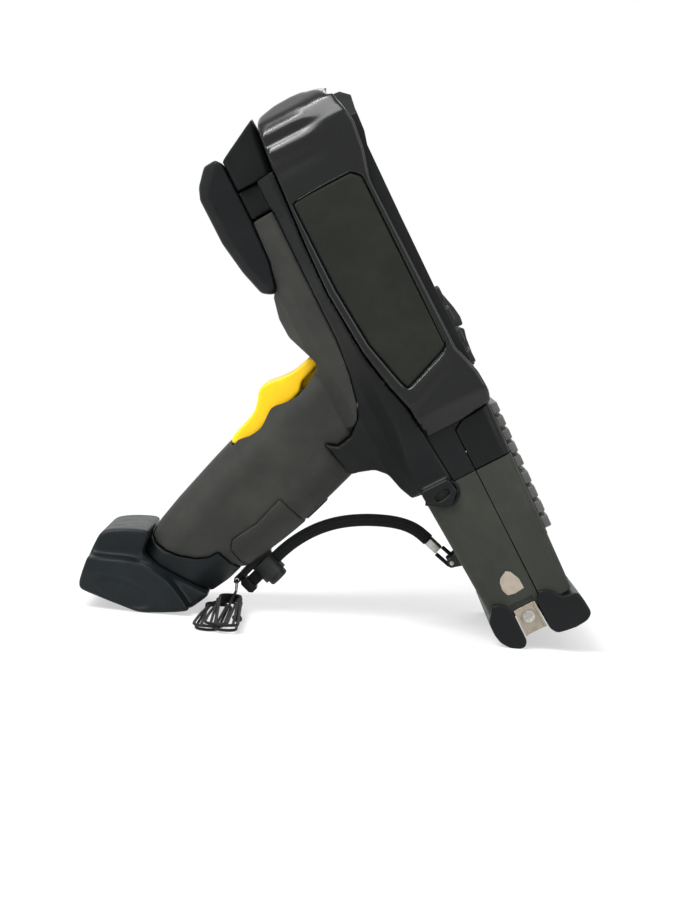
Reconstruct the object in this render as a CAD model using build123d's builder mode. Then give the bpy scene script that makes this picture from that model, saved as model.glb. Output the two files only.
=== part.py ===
from build123d import *
import math
import os

os.makedirs("parts", exist_ok=True)

# A pistol-grip data terminal, standing on its handle's foot and on its keypad end.
# Two side planes carry nearly every outline.  In the terminal's plane, S runs from the
# keypad end to the scanner end and T from the back to the display.  In the grip's plane,
# G runs from the foot up to the terminal and H from the trigger side to the back.
# Y is the width, and the device is the same on both sides of Y = 0.

# ------------------------------------------------------------------ stance (degrees, mm)
TERMINAL_LEAN = 58.2
HANDLE_ANGLE = 72.4
TERMINAL_X = 81.66
TERMINAL_Z = 9.9
ROOT_S = 114.5
ROOT_T = -28.6
GRIP_RUN = 105.0

# ------------------------------------------------------------------ terminal sizes (mm)
WALL = 2.2
SEAM = 0.4
FIT = 0.3
BODY_END = 8.0
COLOUR_SPLIT = 65.4
PARTING = 3.3
KEYPAD_TOP = 84.6
DISPLAY_LOW = 98.0
HEAD_END = 222.0
BODY_HALF = 38.0
DISPLAY_STEP = 4.6
DISPLAY_HALF = BODY_HALF + DISPLAY_STEP
BOOT_WALL = 2.8
CORNER = 4.0
BODY_BACK = -18.4
FACE_LOW = 15.6
FACE_HIGH = 19.2
BOOT_FACE = 17.2
BEZEL_FACE = 20.6
BEZEL_TOP = 25.0
BEZEL_INSET = 2.6
BEZEL_HALF = DISPLAY_HALF - BEZEL_INSET
WINDOW_LOW = 139.0
WINDOW_HIGH = 204.0
WINDOW_MARGIN = 10.0
WINDOW_HALF = BEZEL_HALF - WINDOW_MARGIN
GLASS = 1.4
PANEL_THICK = 2.2
BOARD_T = -3.0
BOARD_THICK = 1.6
BOSS_INSET = 14.0
BOARD_HALF = BODY_HALF - 6.0

# ------------------------------------------------------------------ keypad sizes (mm)
KEY_COLUMNS = 6
KEY_COLUMN_PITCH = 9.6
UPPER_ROWS = 5
UPPER_PITCH = 5.6
UPPER_FIRST = 59.8
LOWER_ROWS = 4
LOWER_PITCH = 6.2
LOWER_FIRST = 34.2
KEY_GAP = 1.3
KEY_SLOT = 0.35
KEY_RISE = 3.2
KEY_TRAVEL = 0.8
KEY_DEPTH = 3.0
MAT_THICK = 1.2
FRAME_THICK = 1.4

# ------------------------------------------------------------------ handle sizes (mm)
GRIP_HALF = 20.0
NECK_HALF = 22.5
BARREL_HALF = 33.0
STICK_BACK = 19.5
STICK_FRONT = -5.5
STICK_HALF = 15.0
STICK_TOP = GRIP_RUN - 19.0
STICK_GAP = 0.5
COLLAR_HALF = 18.2
FOOT_HALF = 30.0
TRIGGER_HALF = 12.5
TRIGGER_GAP = 0.5
PIN_RADIUS = 1.5
PIN_CLEAR = 0.05
PIN_DROP = 5.0
PIN_G = GRIP_RUN - PIN_DROP
PIN_H = -8.5
GUARD_HALF = 26.0
NOSE_HALF = 29.0
RELEASE_HALF = 8.0
RELEASE_HIGH = GRIP_RUN - 35.2
RELEASE_LONG = 11.6
RELEASE_LOW = RELEASE_HIGH - RELEASE_LONG

# ------------------------------------------------------------------ directions and planes
lean = math.radians(TERMINAL_LEAN)
grip_slope = math.radians(180.0 - TERMINAL_LEAN - HANDLE_ANGLE)
S_DIR = Vector(-math.cos(lean), 0, math.sin(lean))
T_DIR = Vector(math.sin(lean), 0, math.cos(lean))
G_DIR = Vector(math.cos(grip_slope), 0, math.sin(grip_slope))
H_DIR = Vector(math.sin(grip_slope), 0, -math.cos(grip_slope))
Y_DIR = Vector(0, 1, 0)
TERMINAL_DATUM = Vector(TERMINAL_X, 0, TERMINAL_Z)
GRIP_DATUM = TERMINAL_DATUM + S_DIR * ROOT_S + T_DIR * ROOT_T - G_DIR * GRIP_RUN


def terminal_side(y=0.0):
    """Side plane of the terminal: local x is S, local y is T, normal is +Y."""
    return Plane(origin=TERMINAL_DATUM + Y_DIR * y, x_dir=S_DIR, z_dir=Y_DIR)


def terminal_face(t=0.0):
    """Plane parallel to the display: local x is S, local y is -Y, normal is T."""
    return Plane(origin=TERMINAL_DATUM + T_DIR * t, x_dir=S_DIR, z_dir=T_DIR)


def terminal_section(s=0.0):
    """Plane across the terminal: local x is -Y, local y is T, normal is S."""
    return Plane(origin=TERMINAL_DATUM + S_DIR * s, x_dir=-Y_DIR, z_dir=S_DIR)


def grip_side(y=0.0):
    """Side plane of the grip: local x is G, local y is H, normal is +Y."""
    return Plane(origin=GRIP_DATUM + Y_DIR * y, x_dir=G_DIR, z_dir=Y_DIR)


def grip_section(g=0.0):
    """Plane across the grip: local x is -Y, local y is H, normal is G."""
    return Plane(origin=GRIP_DATUM + G_DIR * g, x_dir=-Y_DIR, z_dir=G_DIR)


def grip_layer(h=0.0):
    """Plane along the grip facing its back: local x is G, local y is -Y, normal is H."""
    return Plane(origin=GRIP_DATUM + H_DIR * h, x_dir=G_DIR, z_dir=H_DIR)


def to_terminal(g, h):
    """A point of the grip's side plane, in the terminal's (S, T)."""
    spot = GRIP_DATUM + G_DIR * g + H_DIR * h - TERMINAL_DATUM
    return (spot.dot(S_DIR), spot.dot(T_DIR))


def to_grip(s, t):
    """A point of the terminal's side plane, in the grip's (G, H)."""
    spot = TERMINAL_DATUM + S_DIR * s + T_DIR * t - GRIP_DATUM
    return (spot.dot(G_DIR), spot.dot(H_DIR))


def from_neck(points):
    """Points given as (drop below the terminal, H), in the grip's (G, H)."""
    return [(GRIP_RUN - drop, h) for drop, h in points]


def from_pin(points):
    """Points given as (rise above the trigger's pin, H), in the grip's (G, H)."""
    return [(PIN_G + rise, h) for rise, h in points]


def keep(part, name):
    """Label a finished piece and write its STEP file."""
    part.label = name
    export_step(part, "parts/" + name + ".step")


# ------------------------------------------------------------------ shared outlines
# The seam between the front unit and the rear housing, from the scanner end down.
seam_line = [
    (HEAD_END - 4.0, -11.8),
    (HEAD_END - 20.0, -13.4),
    (168.0, -15.8),
    (150.0, -16.4),
    (123.0, -14.6),
    (108.0, -11.7),
    (DISPLAY_LOW - 0.5, -8.8),
    (COLOUR_SPLIT, -6.0),
]
# The edge of the handle shell on the rear housing, from the scanner end down.
shell_line = [
    (187.2, -20.8),
    (169.0, -21.2),
    (133.0, -21.5),
    (119.0, -23.1),
    (107.0, -25.9),
    (102.0, -28.4),
    (97.1, -33.7),
    (95.8, -40.0),
]
# The crease between grip and neck, from the trigger to the back, in (G, H).
crease_line = from_neck([
    (25.0, -5.7),
    (22.2, 1.2),
    (19.9, 9.5),
    (19.6, 13.1),
    (20.8, 25.3),
])
# The lower rim of the grip shell, from the front to the back, in (G, H).
rim_line = [
    (16.5, -13.6),
    (11.0, -11.4),
    (10.4, -8.3),
    (11.3, -3.7),
    (13.6, 1.2),
    (17.4, 6.6),
    (21.3, 9.8),
    (25.7, 11.0),
    (25.8, 17.0),
    (26.5, 21.2),
    (28.6, 24.6),
]


def seam_t(s):
    """Height T of the seam between the front unit and the rear housing at station s."""
    for (high_s, high_t), (low_s, low_t) in zip(seam_line, seam_line[1:]):
        if low_s <= s <= high_s:
            return low_t + (high_t - low_t) * (s - low_s) / (high_s - low_s)
    return seam_line[-1][1]


def ground_s(t):
    """Station S at which a point of height T on the keypad end meets the ground."""
    return -(TERMINAL_Z + t * T_DIR.Z) / S_DIR.Z


def ground_g(h):
    """Station G at which a point of the foot's sole at H meets the ground."""
    return -(GRIP_DATUM.Z + h * H_DIR.Z) / G_DIR.Z


# ------------------------------------------------------------------ lower body envelope
# The two lower covers share this envelope, and the end boots are cut to it.
with BuildPart() as body_envelope:
    with BuildSketch(terminal_side()):
        Polygon(
            (BODY_END, BODY_BACK + 1.6),
            (COLOUR_SPLIT, BODY_BACK - 1.2),
            (COLOUR_SPLIT + 22.0, BODY_BACK - 1.2),
            (COLOUR_SPLIT + 22.0, FACE_HIGH),
            (BODY_END, FACE_LOW),
            align=None,
        )
    extrude(amount=BODY_HALF, both=True)
    fillet(body_envelope.edges().filter_by(lambda e: abs(e.tangent_at(0.5).dot(S_DIR)) > 0.9), CORNER)

with BuildPart() as body_hollow:
    with BuildSketch(terminal_side()):
        Polygon(
            (BODY_END + WALL, BODY_BACK + 1.6 + WALL),
            (COLOUR_SPLIT + 30.0, BODY_BACK - 1.2 + WALL),
            (COLOUR_SPLIT + 30.0, FACE_HIGH - WALL + 0.4),
            (BODY_END + WALL, FACE_LOW - WALL),
            align=None,
        )
    extrude(amount=BODY_HALF - WALL, both=True)


def back_t(s):
    """Height T of the lower body's back face at station s."""
    share = (s - BODY_END) / (COLOUR_SPLIT - BODY_END)
    return BODY_BACK + 1.6 - 2.8 * share


def face_t(s):
    """Height T of the keypad's sloping face at station s."""
    share = (s - BODY_END) / (COLOUR_SPLIT + 22.0 - BODY_END)
    return FACE_LOW + (FACE_HIGH - FACE_LOW) * share


# Room for the scanning dock's bracket and the cable connector at the keypad end.
BRACKET_BACK = -8.6
BRACKET_FRONT = 0.9
BRACKET_LOW = -0.5
BRACKET_HIGH = 10.2
BRACKET_THICK = 0.8
CONNECTOR_HALF = 17.0

BOSS_RADIUS = 3.0
cover_boss_stations = (20.0, 56.0)
boss_rows = (BOSS_INSET - BODY_HALF, BODY_HALF - BOSS_INSET)

# ------------------------------------------------------------------ small pieces in the covers
SCREW_S = 5.9
SCREW_T = -4.0
SCREW_HEAD = 2.4
SCREW_SHANK = 1.2
RIM = 1.0
with BuildPart() as bracket_screws:
    for side in (-1, 1):
        with BuildSketch(terminal_side(side * BODY_HALF)):
            with Locations((SCREW_S, SCREW_T)):
                Circle(SCREW_HEAD)
        extrude(amount=side * RIM)
        with BuildSketch(terminal_side(side * (BODY_HALF + RIM))):
            with Locations((SCREW_S, SCREW_T)):
                Rectangle(3.0, 0.7)
                Rectangle(0.7, 3.0)
        extrude(amount=-side * 0.6, mode=Mode.SUBTRACT)
        with BuildSketch(terminal_side(side * BODY_HALF)):
            with Locations((SCREW_S, SCREW_T)):
                Circle(SCREW_SHANK)
        extrude(amount=-side * 5.0)
keep(bracket_screws.part, "bracket_screws")

shield_outline = [
    (25.5, -4.2),
    (23.8, -7.4),
    (22.5, -8.3),
    (19.2, -8.7),
    (16.5, -7.8),
    (15.8, -4.7),
    (16.3, -0.6),
    (20.4, -0.7),
    (24.5, -2.5),
]
LATCH_DEPTH = 0.8
with BuildPart() as latch_plates:
    for side in (-1, 1):
        with BuildSketch(terminal_side(side * (BODY_HALF - LATCH_DEPTH))):
            Polygon(*shield_outline, align=None)
        extrude(amount=side * LATCH_DEPTH)
keep(latch_plates.part, "latch_plates")

SPEAKER_S = 20.0
SPEAKER_RADIUS = 7.5
speaker_top = face_t(SPEAKER_S) - WALL - 0.7
with BuildPart() as speaker:
    with BuildSketch(terminal_face(speaker_top)):
        with Locations((SPEAKER_S, 0)):
            Circle(SPEAKER_RADIUS)
    extrude(amount=-3.0)
keep(speaker.part, "speaker")

POWER_S = 20.0
POWER_Y = BOSS_INSET - BODY_HALF
POWER_RADIUS = 3.6
power_bottom = face_t(POWER_S) - WALL - 1.0
with BuildPart() as power_key:
    with BuildSketch(terminal_face(power_bottom)):
        with Locations((POWER_S, POWER_Y)):
            Circle(POWER_RADIUS)
    extrude(amount=WALL + 2.0)
keep(power_key.part, "power_key")

BAR_S = 32.5
BAR_T = -21.6
BAR_RADIUS = 0.9
EAR_HALF = 5.0
EAR_THICK = 1.6
with BuildPart() as strap_bar:
    with BuildSketch(terminal_side()):
        with Locations((BAR_S, BAR_T)):
            Circle(BAR_RADIUS)
    extrude(amount=EAR_HALF + EAR_THICK, both=True)
keep(strap_bar.part, "strap_bar")

with BuildPart() as housing_screws:
    for screw_s in cover_boss_stations:
        with BuildSketch(terminal_face(back_t(screw_s) + 1.0)):
            with Locations(*[(screw_s, y) for y in boss_rows]):
                Circle(2.2)
        extrude(amount=-0.9)
        with BuildSketch(terminal_face(back_t(screw_s) + 1.0)):
            with Locations(*[(screw_s, y) for y in boss_rows]):
                Circle(1.0)
        extrude(amount=8.0)
keep(housing_screws.part, "housing_screws")

with BuildPart() as housing_screw_wells:
    add(housing_screws.part)
    for screw_s in cover_boss_stations:
        with BuildSketch(terminal_face(back_t(screw_s) + 1.0)):
            with Locations(*[(screw_s, y) for y in boss_rows]):
                Circle(2.4)
        extrude(amount=-4.0)

handle_screw_places = [(33.0, -10.4), *from_neck([(55.0, -11.0)])]
with BuildPart() as handle_screws:
    with BuildSketch(grip_side(12.0)):
        with Locations(*handle_screw_places):
            Circle(2.2)
    extrude(amount=1.6)
    with BuildSketch(grip_side(12.0)):
        with Locations(*handle_screw_places):
            Circle(1.1)
    extrude(amount=-18.0)
keep(handle_screws.part, "handle_screws")

with BuildPart() as handle_screw_wells:
    add(handle_screws.part)
    with BuildSketch(grip_side(12.0)):
        with Locations(*handle_screw_places):
            Circle(2.5)
    extrude(amount=20.0)

# ------------------------------------------------------------------ rear_cover
with BuildPart() as rear_cover:
    with BuildSketch(terminal_side()):
        Polygon(
            (BODY_END, BODY_BACK - 2.0),
            (COLOUR_SPLIT - SEAM, BODY_BACK - 2.0),
            (COLOUR_SPLIT - SEAM, PARTING - SEAM),
            (BODY_END, PARTING - SEAM),
            align=None,
        )
    extrude(amount=BODY_HALF + 1.0, both=True)
    add(body_envelope.part, mode=Mode.INTERSECT)
    add(body_hollow.part, mode=Mode.SUBTRACT)
    with BuildSketch(terminal_side()):
        Polygon(
            (BRACKET_LOW, BRACKET_BACK + FIT),
            (BODY_END + WALL, BRACKET_BACK + FIT),
            (BODY_END + WALL, BRACKET_FRONT - FIT),
            (BRACKET_LOW, BRACKET_FRONT - FIT),
            align=None,
        )
    extrude(amount=BODY_HALF - BRACKET_THICK, both=True)
    with BuildSketch(terminal_section(BRACKET_LOW)):
        with Locations((0, (BRACKET_BACK + BRACKET_FRONT) / 2)):
            RectangleRounded(2 * CONNECTOR_HALF, BRACKET_FRONT - BRACKET_BACK - 2.4, 2.0)
    extrude(amount=BODY_END + WALL - BRACKET_LOW, mode=Mode.SUBTRACT)
    for side in (-1, 1):
        with BuildSketch(terminal_side(side * BODY_HALF)):
            Polygon(
                (BRACKET_LOW - 1.0, BRACKET_BACK),
                (BRACKET_HIGH + 2.6, BRACKET_BACK),
                (BRACKET_HIGH + 2.6, BRACKET_FRONT),
                (BRACKET_LOW - 1.0, BRACKET_FRONT),
                align=None,
            )
        extrude(amount=-side * BRACKET_THICK, mode=Mode.SUBTRACT)
    with BuildSketch(terminal_face(BOARD_T)):
        with Locations(*[(s, y) for s in cover_boss_stations for y in boss_rows]):
            Circle(BOSS_RADIUS)
    extrude(amount=BODY_BACK + WALL / 2 - BOARD_T)
    for side in (-1, 1):
        with BuildSketch(terminal_side(side * EAR_HALF)):
            Polygon(
                (BAR_S - 3.2, back_t(BAR_S) + 1.0),
                (BAR_S + 3.2, back_t(BAR_S) + 1.0),
                (BAR_S + 1.5, BAR_T - 1.4),
                (BAR_S - 1.5, BAR_T - 1.4),
                align=None,
            )
        extrude(amount=side * EAR_THICK)
    add(strap_bar.part, mode=Mode.SUBTRACT)
    add(housing_screw_wells.part, mode=Mode.SUBTRACT)
    add(bracket_screws.part, mode=Mode.SUBTRACT)
    add(latch_plates.part, mode=Mode.SUBTRACT)
keep(rear_cover.part, "rear_cover")

# ------------------------------------------------------------------ keypad covers
KEY_WINDOW_HALF = KEY_COLUMNS * KEY_COLUMN_PITCH / 2 + 2.0
KEY_WINDOW_LOW = LOWER_FIRST - LOWER_PITCH / 2 - 1.6
KEY_WINDOW_HIGH = KEYPAD_TOP + 0.1

with BuildPart() as keypad_window:
    with BuildSketch(terminal_face(PARTING + 4.0)):
        with Locations(((KEY_WINDOW_LOW + KEY_WINDOW_HIGH) / 2, 0)):
            Rectangle(KEY_WINDOW_HIGH - KEY_WINDOW_LOW, 2 * KEY_WINDOW_HALF)
    extrude(amount=30.0)

with BuildPart() as keypad_cover:
    with BuildSketch(terminal_side()):
        Polygon(
            (BODY_END, PARTING),
            (COLOUR_SPLIT - SEAM, PARTING),
            (COLOUR_SPLIT - SEAM, FACE_HIGH + 2.0),
            (BODY_END, FACE_HIGH + 2.0),
            align=None,
        )
    extrude(amount=BODY_HALF + 1.0, both=True)
    add(body_envelope.part, mode=Mode.INTERSECT)
    add(body_hollow.part, mode=Mode.SUBTRACT)
    add(keypad_window.part, mode=Mode.SUBTRACT)
    with BuildSketch(terminal_face(PARTING + 2.0)):
        with Locations((POWER_S, POWER_Y)):
            Circle(POWER_RADIUS + KEY_SLOT)
        with Locations((SPEAKER_S, 0)):
            with GridLocations(2.6, 1, 4, 1):
                SlotOverall(10.0, 1.2, rotation=90)
    extrude(amount=30.0, mode=Mode.SUBTRACT)
keep(keypad_cover.part, "keypad_cover")

with BuildPart() as keypad_cover_top:
    with BuildSketch(terminal_side()):
        Polygon(
            (COLOUR_SPLIT, PARTING),
            (KEYPAD_TOP - 2.4, PARTING),
            (KEYPAD_TOP, PARTING + 4.0),
            (KEYPAD_TOP + 1.2, FACE_HIGH + 2.0),
            (COLOUR_SPLIT, FACE_HIGH + 2.0),
            align=None,
        )
    extrude(amount=BODY_HALF + 1.0, both=True)
    add(body_envelope.part, mode=Mode.INTERSECT)
    add(body_hollow.part, mode=Mode.SUBTRACT)
    add(keypad_window.part, mode=Mode.SUBTRACT)
keep(keypad_cover_top.part, "keypad_cover_top")

# ------------------------------------------------------------------ keypad
key_rows = [LOWER_FIRST + LOWER_PITCH * row for row in range(LOWER_ROWS)]
key_rows += [UPPER_FIRST + UPPER_PITCH * row for row in range(UPPER_ROWS)]
key_lengths = [LOWER_PITCH - KEY_GAP] * LOWER_ROWS + [UPPER_PITCH - KEY_GAP] * UPPER_ROWS
key_width = KEY_COLUMN_PITCH - KEY_GAP
key_columns = [KEY_COLUMN_PITCH * (column - (KEY_COLUMNS - 1) / 2) for column in range(KEY_COLUMNS)]
key_slope = math.degrees(math.atan2(FACE_HIGH - FACE_LOW, COLOUR_SPLIT + 22.0 - BODY_END))


def keypad_plane(s, rise):
    """Plane of the keypad's sloping face at station s, raised by rise along its normal."""
    tilt = math.radians(key_slope)
    along = S_DIR * math.cos(tilt) + T_DIR * math.sin(tilt)
    normal = T_DIR * math.cos(tilt) - S_DIR * math.sin(tilt)
    foot = TERMINAL_DATUM + S_DIR * s + T_DIR * face_t(s)
    return Plane(origin=foot + normal * rise, x_dir=along, z_dir=normal)


frame_low = KEY_WINDOW_LOW + FIT
frame_high = KEY_WINDOW_HIGH - FIT
frame_middle = (frame_low + frame_high) / 2
with BuildPart() as keypad_frame:
    with BuildSketch(keypad_plane(frame_middle, -FRAME_THICK + 0.4)):
        RectangleRounded(frame_high - frame_low, 2 * (KEY_WINDOW_HALF - FIT), 1.5)
    extrude(amount=FRAME_THICK)
    for row_s, row_length in zip(key_rows, key_lengths):
        with BuildSketch(keypad_plane(row_s, 3.0)):
            with Locations(*[(0, y) for y in key_columns]):
                RectangleRounded(row_length + 2 * KEY_SLOT, key_width + 2 * KEY_SLOT, 1.0)
        extrude(amount=-6.0, mode=Mode.SUBTRACT)
keep(keypad_frame.part, "keypad_frame")

for number, (row_s, row_length) in enumerate(zip(key_rows, key_lengths), start=1):
    with BuildPart() as key_row:
        with BuildSketch(keypad_plane(row_s, KEY_RISE)):
            with Locations(*[(0, y) for y in key_columns]):
                RectangleRounded(row_length, key_width, 0.9)
        extrude(amount=-KEY_RISE - KEY_DEPTH)
        fillet(key_row.faces().filter_by(lambda f: f.normal_at().dot(T_DIR) > 0.9).edges(), 0.6)
    keep(key_row.part, "key_row_" + str(number))

# ------------------------------------------------------------------ display section envelope
tray_end = HEAD_END - BOOT_WALL
HEAD_CORNER = 13.0
tray_points = [
    (COLOUR_SPLIT - 20.0, BODY_HALF),
    (KEYPAD_TOP + 1.0, BODY_HALF),
    (KEYPAD_TOP + 8.0, DISPLAY_HALF),
    (tray_end - HEAD_CORNER, DISPLAY_HALF),
    (tray_end, DISPLAY_HALF - HEAD_CORNER),
    (tray_end, -DISPLAY_HALF + HEAD_CORNER),
    (tray_end - HEAD_CORNER, -DISPLAY_HALF),
    (KEYPAD_TOP + 8.0, -DISPLAY_HALF),
    (KEYPAD_TOP + 1.0, -BODY_HALF),
    (COLOUR_SPLIT - 20.0, -BODY_HALF),
]
with BuildPart() as tray_plan:
    with BuildSketch(terminal_face(-30.0)):
        Polygon(*tray_points, align=None)
    extrude(amount=60.0)

with BuildPart() as tray_hollow_plan:
    with BuildSketch(terminal_face(-30.0)):
        with BuildLine():
            Polyline(*tray_points, close=True)
        make_face()
        offset(amount=-WALL, kind=Kind.INTERSECTION, mode=Mode.REPLACE)
    extrude(amount=60.0)

with BuildPart() as tray_envelope:
    with BuildSketch(terminal_side()):
        Polygon(
            *seam_line,
            (COLOUR_SPLIT, PARTING - SEAM),
            (KEYPAD_TOP - 2.4 + SEAM, PARTING - SEAM),
            (KEYPAD_TOP + SEAM, PARTING + 4.0 - SEAM),
            (KEYPAD_TOP + 1.2 + SEAM, BOOT_FACE - 0.2),
            (HEAD_END - BOOT_WALL, BOOT_FACE - 0.2),
            (HEAD_END - BOOT_WALL, -9.0),
            align=None,
        )
    extrude(amount=DISPLAY_HALF, both=True)
    add(tray_plan.part, mode=Mode.INTERSECT)


# ------------------------------------------------------------------ main_housing
RIB = 3.0
rib_stations = (104.0, 130.0, 152.0, 176.0, 198.0)
tray_boss_stations = (112.0, 150.0, 190.0)
MODULE_T = 12.0

with BuildPart() as tray_hollow:
    with BuildSketch(terminal_side()):
        Polygon(
            *[(s, t + WALL) for s, t in seam_line[:-1]],
            (COLOUR_SPLIT - 1.0, seam_line[-1][1] + WALL),
            (COLOUR_SPLIT - 1.0, PARTING + 2.0),
            (KEYPAD_TOP - 2.0, PARTING + 2.0),
            (KEYPAD_TOP + WALL, PARTING + 4.0),
            (KEYPAD_TOP + WALL + 1.6, BOOT_FACE - WALL),
            (DISPLAY_LOW, BOOT_FACE - WALL),
            (DISPLAY_LOW, BOOT_FACE + 5.0),
            (HEAD_END, BOOT_FACE + 5.0),
            (HEAD_END, -9.0),
            align=None,
        )
    extrude(amount=DISPLAY_HALF, both=True)
    add(tray_hollow_plan.part, mode=Mode.INTERSECT)

with BuildPart() as main_housing:
    add(tray_envelope.part)
    add(tray_hollow.part, mode=Mode.SUBTRACT)
    rib_half = (DISPLAY_HALF - WALL - BOARD_HALF - 2.0) / 2
    with BuildSketch(terminal_face(-8.0)):
        with Locations(
            *[(s, side * (DISPLAY_HALF - WALL - rib_half + 0.5)) for s in rib_stations for side in (-1, 1)]
        ):
            Rectangle(RIB, 2 * rib_half + 1.0)
    extrude(amount=MODULE_T + 8.0)
    for boss_s in tray_boss_stations:
        with BuildSketch(terminal_face(BOARD_T)):
            with Locations(*[(boss_s, y) for y in boss_rows]):
                Circle(BOSS_RADIUS)
        extrude(amount=seam_t(boss_s) + WALL / 2 - BOARD_T)
keep(main_housing.part, "main_housing")

# ------------------------------------------------------------------ display boot and side panels
panel_outline = [
    (185.4, -12.9),
    (186.3, -8.9),
    (186.3, 11.3),
    (183.2, 14.4),
    (113.3, 14.0),
    (111.6, 11.3),
    (105.2, -5.7),
    (109.2, -7.1),
    (126.0, -11.1),
    (150.0, -12.9),
]
boot_half = DISPLAY_HALF + BOOT_WALL
with BuildPart() as boot_plan:
    with BuildSketch(terminal_face(-30.0)):
        Polygon(
            (KEYPAD_TOP - 10.0, BODY_HALF + 1.6),
            (KEYPAD_TOP + 1.0, BODY_HALF + 1.6),
            (KEYPAD_TOP + 8.0, boot_half),
            (HEAD_END - 14.0, boot_half),
            (HEAD_END - 4.0, boot_half - 5.0),
            (HEAD_END + 1.2, boot_half - 16.0),
            (HEAD_END + 1.2, -boot_half + 16.0),
            (HEAD_END - 4.0, -boot_half + 5.0),
            (HEAD_END - 14.0, -boot_half),
            (KEYPAD_TOP + 8.0, -boot_half),
            (KEYPAD_TOP + 1.0, -BODY_HALF - 1.6),
            (KEYPAD_TOP - 10.0, -BODY_HALF - 1.6),
            align=None,
        )
    extrude(amount=60.0)

with BuildPart() as display_boot:
    with BuildSketch(terminal_side()):
        Polygon(
            (HEAD_END - 1.2, -10.5),
            *[(s, t) for s, t in seam_line[:-1] if s > KEYPAD_TOP],
            (KEYPAD_TOP, seam_t(KEYPAD_TOP)),
            (KEYPAD_TOP, PARTING + 4.0 - SEAM),
            (KEYPAD_TOP + 1.2 + SEAM, FACE_HIGH + 0.8),
            (KEYPAD_TOP + 6.0, 21.1),
            (DISPLAY_LOW + 1.0, 20.6),
            (110.7, BOOT_FACE),
            (180.5, BOOT_FACE - 0.4),
            (191.8, 19.8),
            (202.7, 21.3),
            (210.9, 19.9),
            (217.0, 20.6),
            (HEAD_END - 2.0, 19.6),
            (HEAD_END + 0.8, 10.7),
            (HEAD_END + 1.1, 3.9),
            (HEAD_END + 0.8, -2.9),
            align=None,
        )
    extrude(amount=boot_half, both=True)
    add(boot_plan.part, mode=Mode.INTERSECT)
    add(tray_envelope.part, mode=Mode.SUBTRACT)
    add(tray_hollow.part, mode=Mode.SUBTRACT)
    with BuildSketch(terminal_side()):
        Polygon(
            (KEYPAD_TOP - 5.0, -30.0),
            (KEYPAD_TOP + 0.0, -30.0),
            (KEYPAD_TOP + 0.0, 60.0),
            (KEYPAD_TOP - 5.0, 60.0),
            align=None,
        )
    extrude(amount=boot_half, both=True, mode=Mode.SUBTRACT)
    add(keypad_cover_top.part, mode=Mode.SUBTRACT)
    add(body_envelope.part, mode=Mode.SUBTRACT)
    with BuildSketch(terminal_face(BOOT_FACE - 0.2)):
        with Locations(((DISPLAY_LOW + tray_end) / 2, 0)):
            Rectangle(tray_end - DISPLAY_LOW, 2 * (BEZEL_HALF + FIT))
    extrude(amount=20.0, mode=Mode.SUBTRACT)
    with BuildSketch(terminal_side()):
        with BuildLine():
            Polyline(*panel_outline, close=True)
        make_face()
        offset(amount=FIT)
    extrude(amount=boot_half + 1.0, both=True, mode=Mode.SUBTRACT)
keep(display_boot.part, "display_boot")

with BuildPart() as side_panels:
    for side in (-1, 1):
        with BuildSketch(terminal_side(side * DISPLAY_HALF)):
            Polygon(*panel_outline, align=None)
        extrude(amount=side * PANEL_THICK)
keep(side_panels.part, "side_panels")

# ------------------------------------------------------------------ display
bezel_low = DISPLAY_LOW + FIT
bezel_high = tray_end - WALL - FIT
BEZEL_BOTTOM = 15.6
NAV_SPLIT_LOW = 114.6
NAV_SPLIT_HIGH = 115.8
NAV_HALF = 16.0
SCAN_LOW = 100.0
NAV_HIGH = 133.5
glass_low = WINDOW_LOW - 3.0
glass_high = WINDOW_HIGH + 3.0
glass_half = WINDOW_HALF + 3.0
SIDE_KEY_Y = BEZEL_HALF - 14.0
side_key_places = [(s, y) for s in (104.5, 113.5, 122.5, 131.0) for y in (-SIDE_KEY_Y, SIDE_KEY_Y)]
SIDE_KEY_LONG = 6.0
SIDE_KEY_WIDE = 9.0
with BuildPart() as display_bezel:
    with BuildSketch(terminal_side()):
        Polygon(
            (bezel_low, BEZEL_BOTTOM),
            (bezel_low, BEZEL_FACE - 0.4),
            (134.7, BEZEL_FACE - 0.2),
            (164.0, BEZEL_FACE + 0.4),
            (192.8, BEZEL_FACE + 1.2),
            (198.0, 23.2),
            (207.0, 23.9),
            (212.8, BEZEL_TOP),
            (bezel_high - 0.6, 21.9),
            (bezel_high, BEZEL_BOTTOM),
            align=None,
        )
    extrude(amount=BEZEL_HALF, both=True)
    with BuildSketch(terminal_face(BEZEL_BOTTOM)):
        with BuildLine():
            Polyline(*tray_points, close=True)
        make_face()
        offset(amount=-WALL - FIT, kind=Kind.INTERSECTION, mode=Mode.REPLACE)
    extrude(amount=20.0, mode=Mode.INTERSECT)
    with BuildSketch(terminal_face(BEZEL_BOTTOM - 1.0)):
        with Locations(((bezel_low + glass_high) / 2, 0)):
            Rectangle(glass_high - bezel_low - 2 * WALL, 2 * (BEZEL_HALF - WALL))
    extrude(amount=BEZEL_FACE - WALL - BEZEL_BOTTOM + 1.0, mode=Mode.SUBTRACT)
    with BuildSketch(terminal_face(0.0)):
        with Locations(((WINDOW_LOW + WINDOW_HIGH) / 2, 0)):
            RectangleRounded(WINDOW_HIGH - WINDOW_LOW, 2 * WINDOW_HALF, 2.0)
        with Locations(((SCAN_LOW + NAV_HIGH) / 2, 0)):
            RectangleRounded(NAV_HIGH - SCAN_LOW + 2 * KEY_SLOT, 2 * (NAV_HALF + KEY_SLOT), 0.6)
        with Locations(*side_key_places):
            RectangleRounded(SIDE_KEY_LONG + 2 * KEY_SLOT, SIDE_KEY_WIDE + 2 * KEY_SLOT, 2.0)
    extrude(amount=60.0, mode=Mode.SUBTRACT)
keep(display_bezel.part, "display_bezel")

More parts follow.
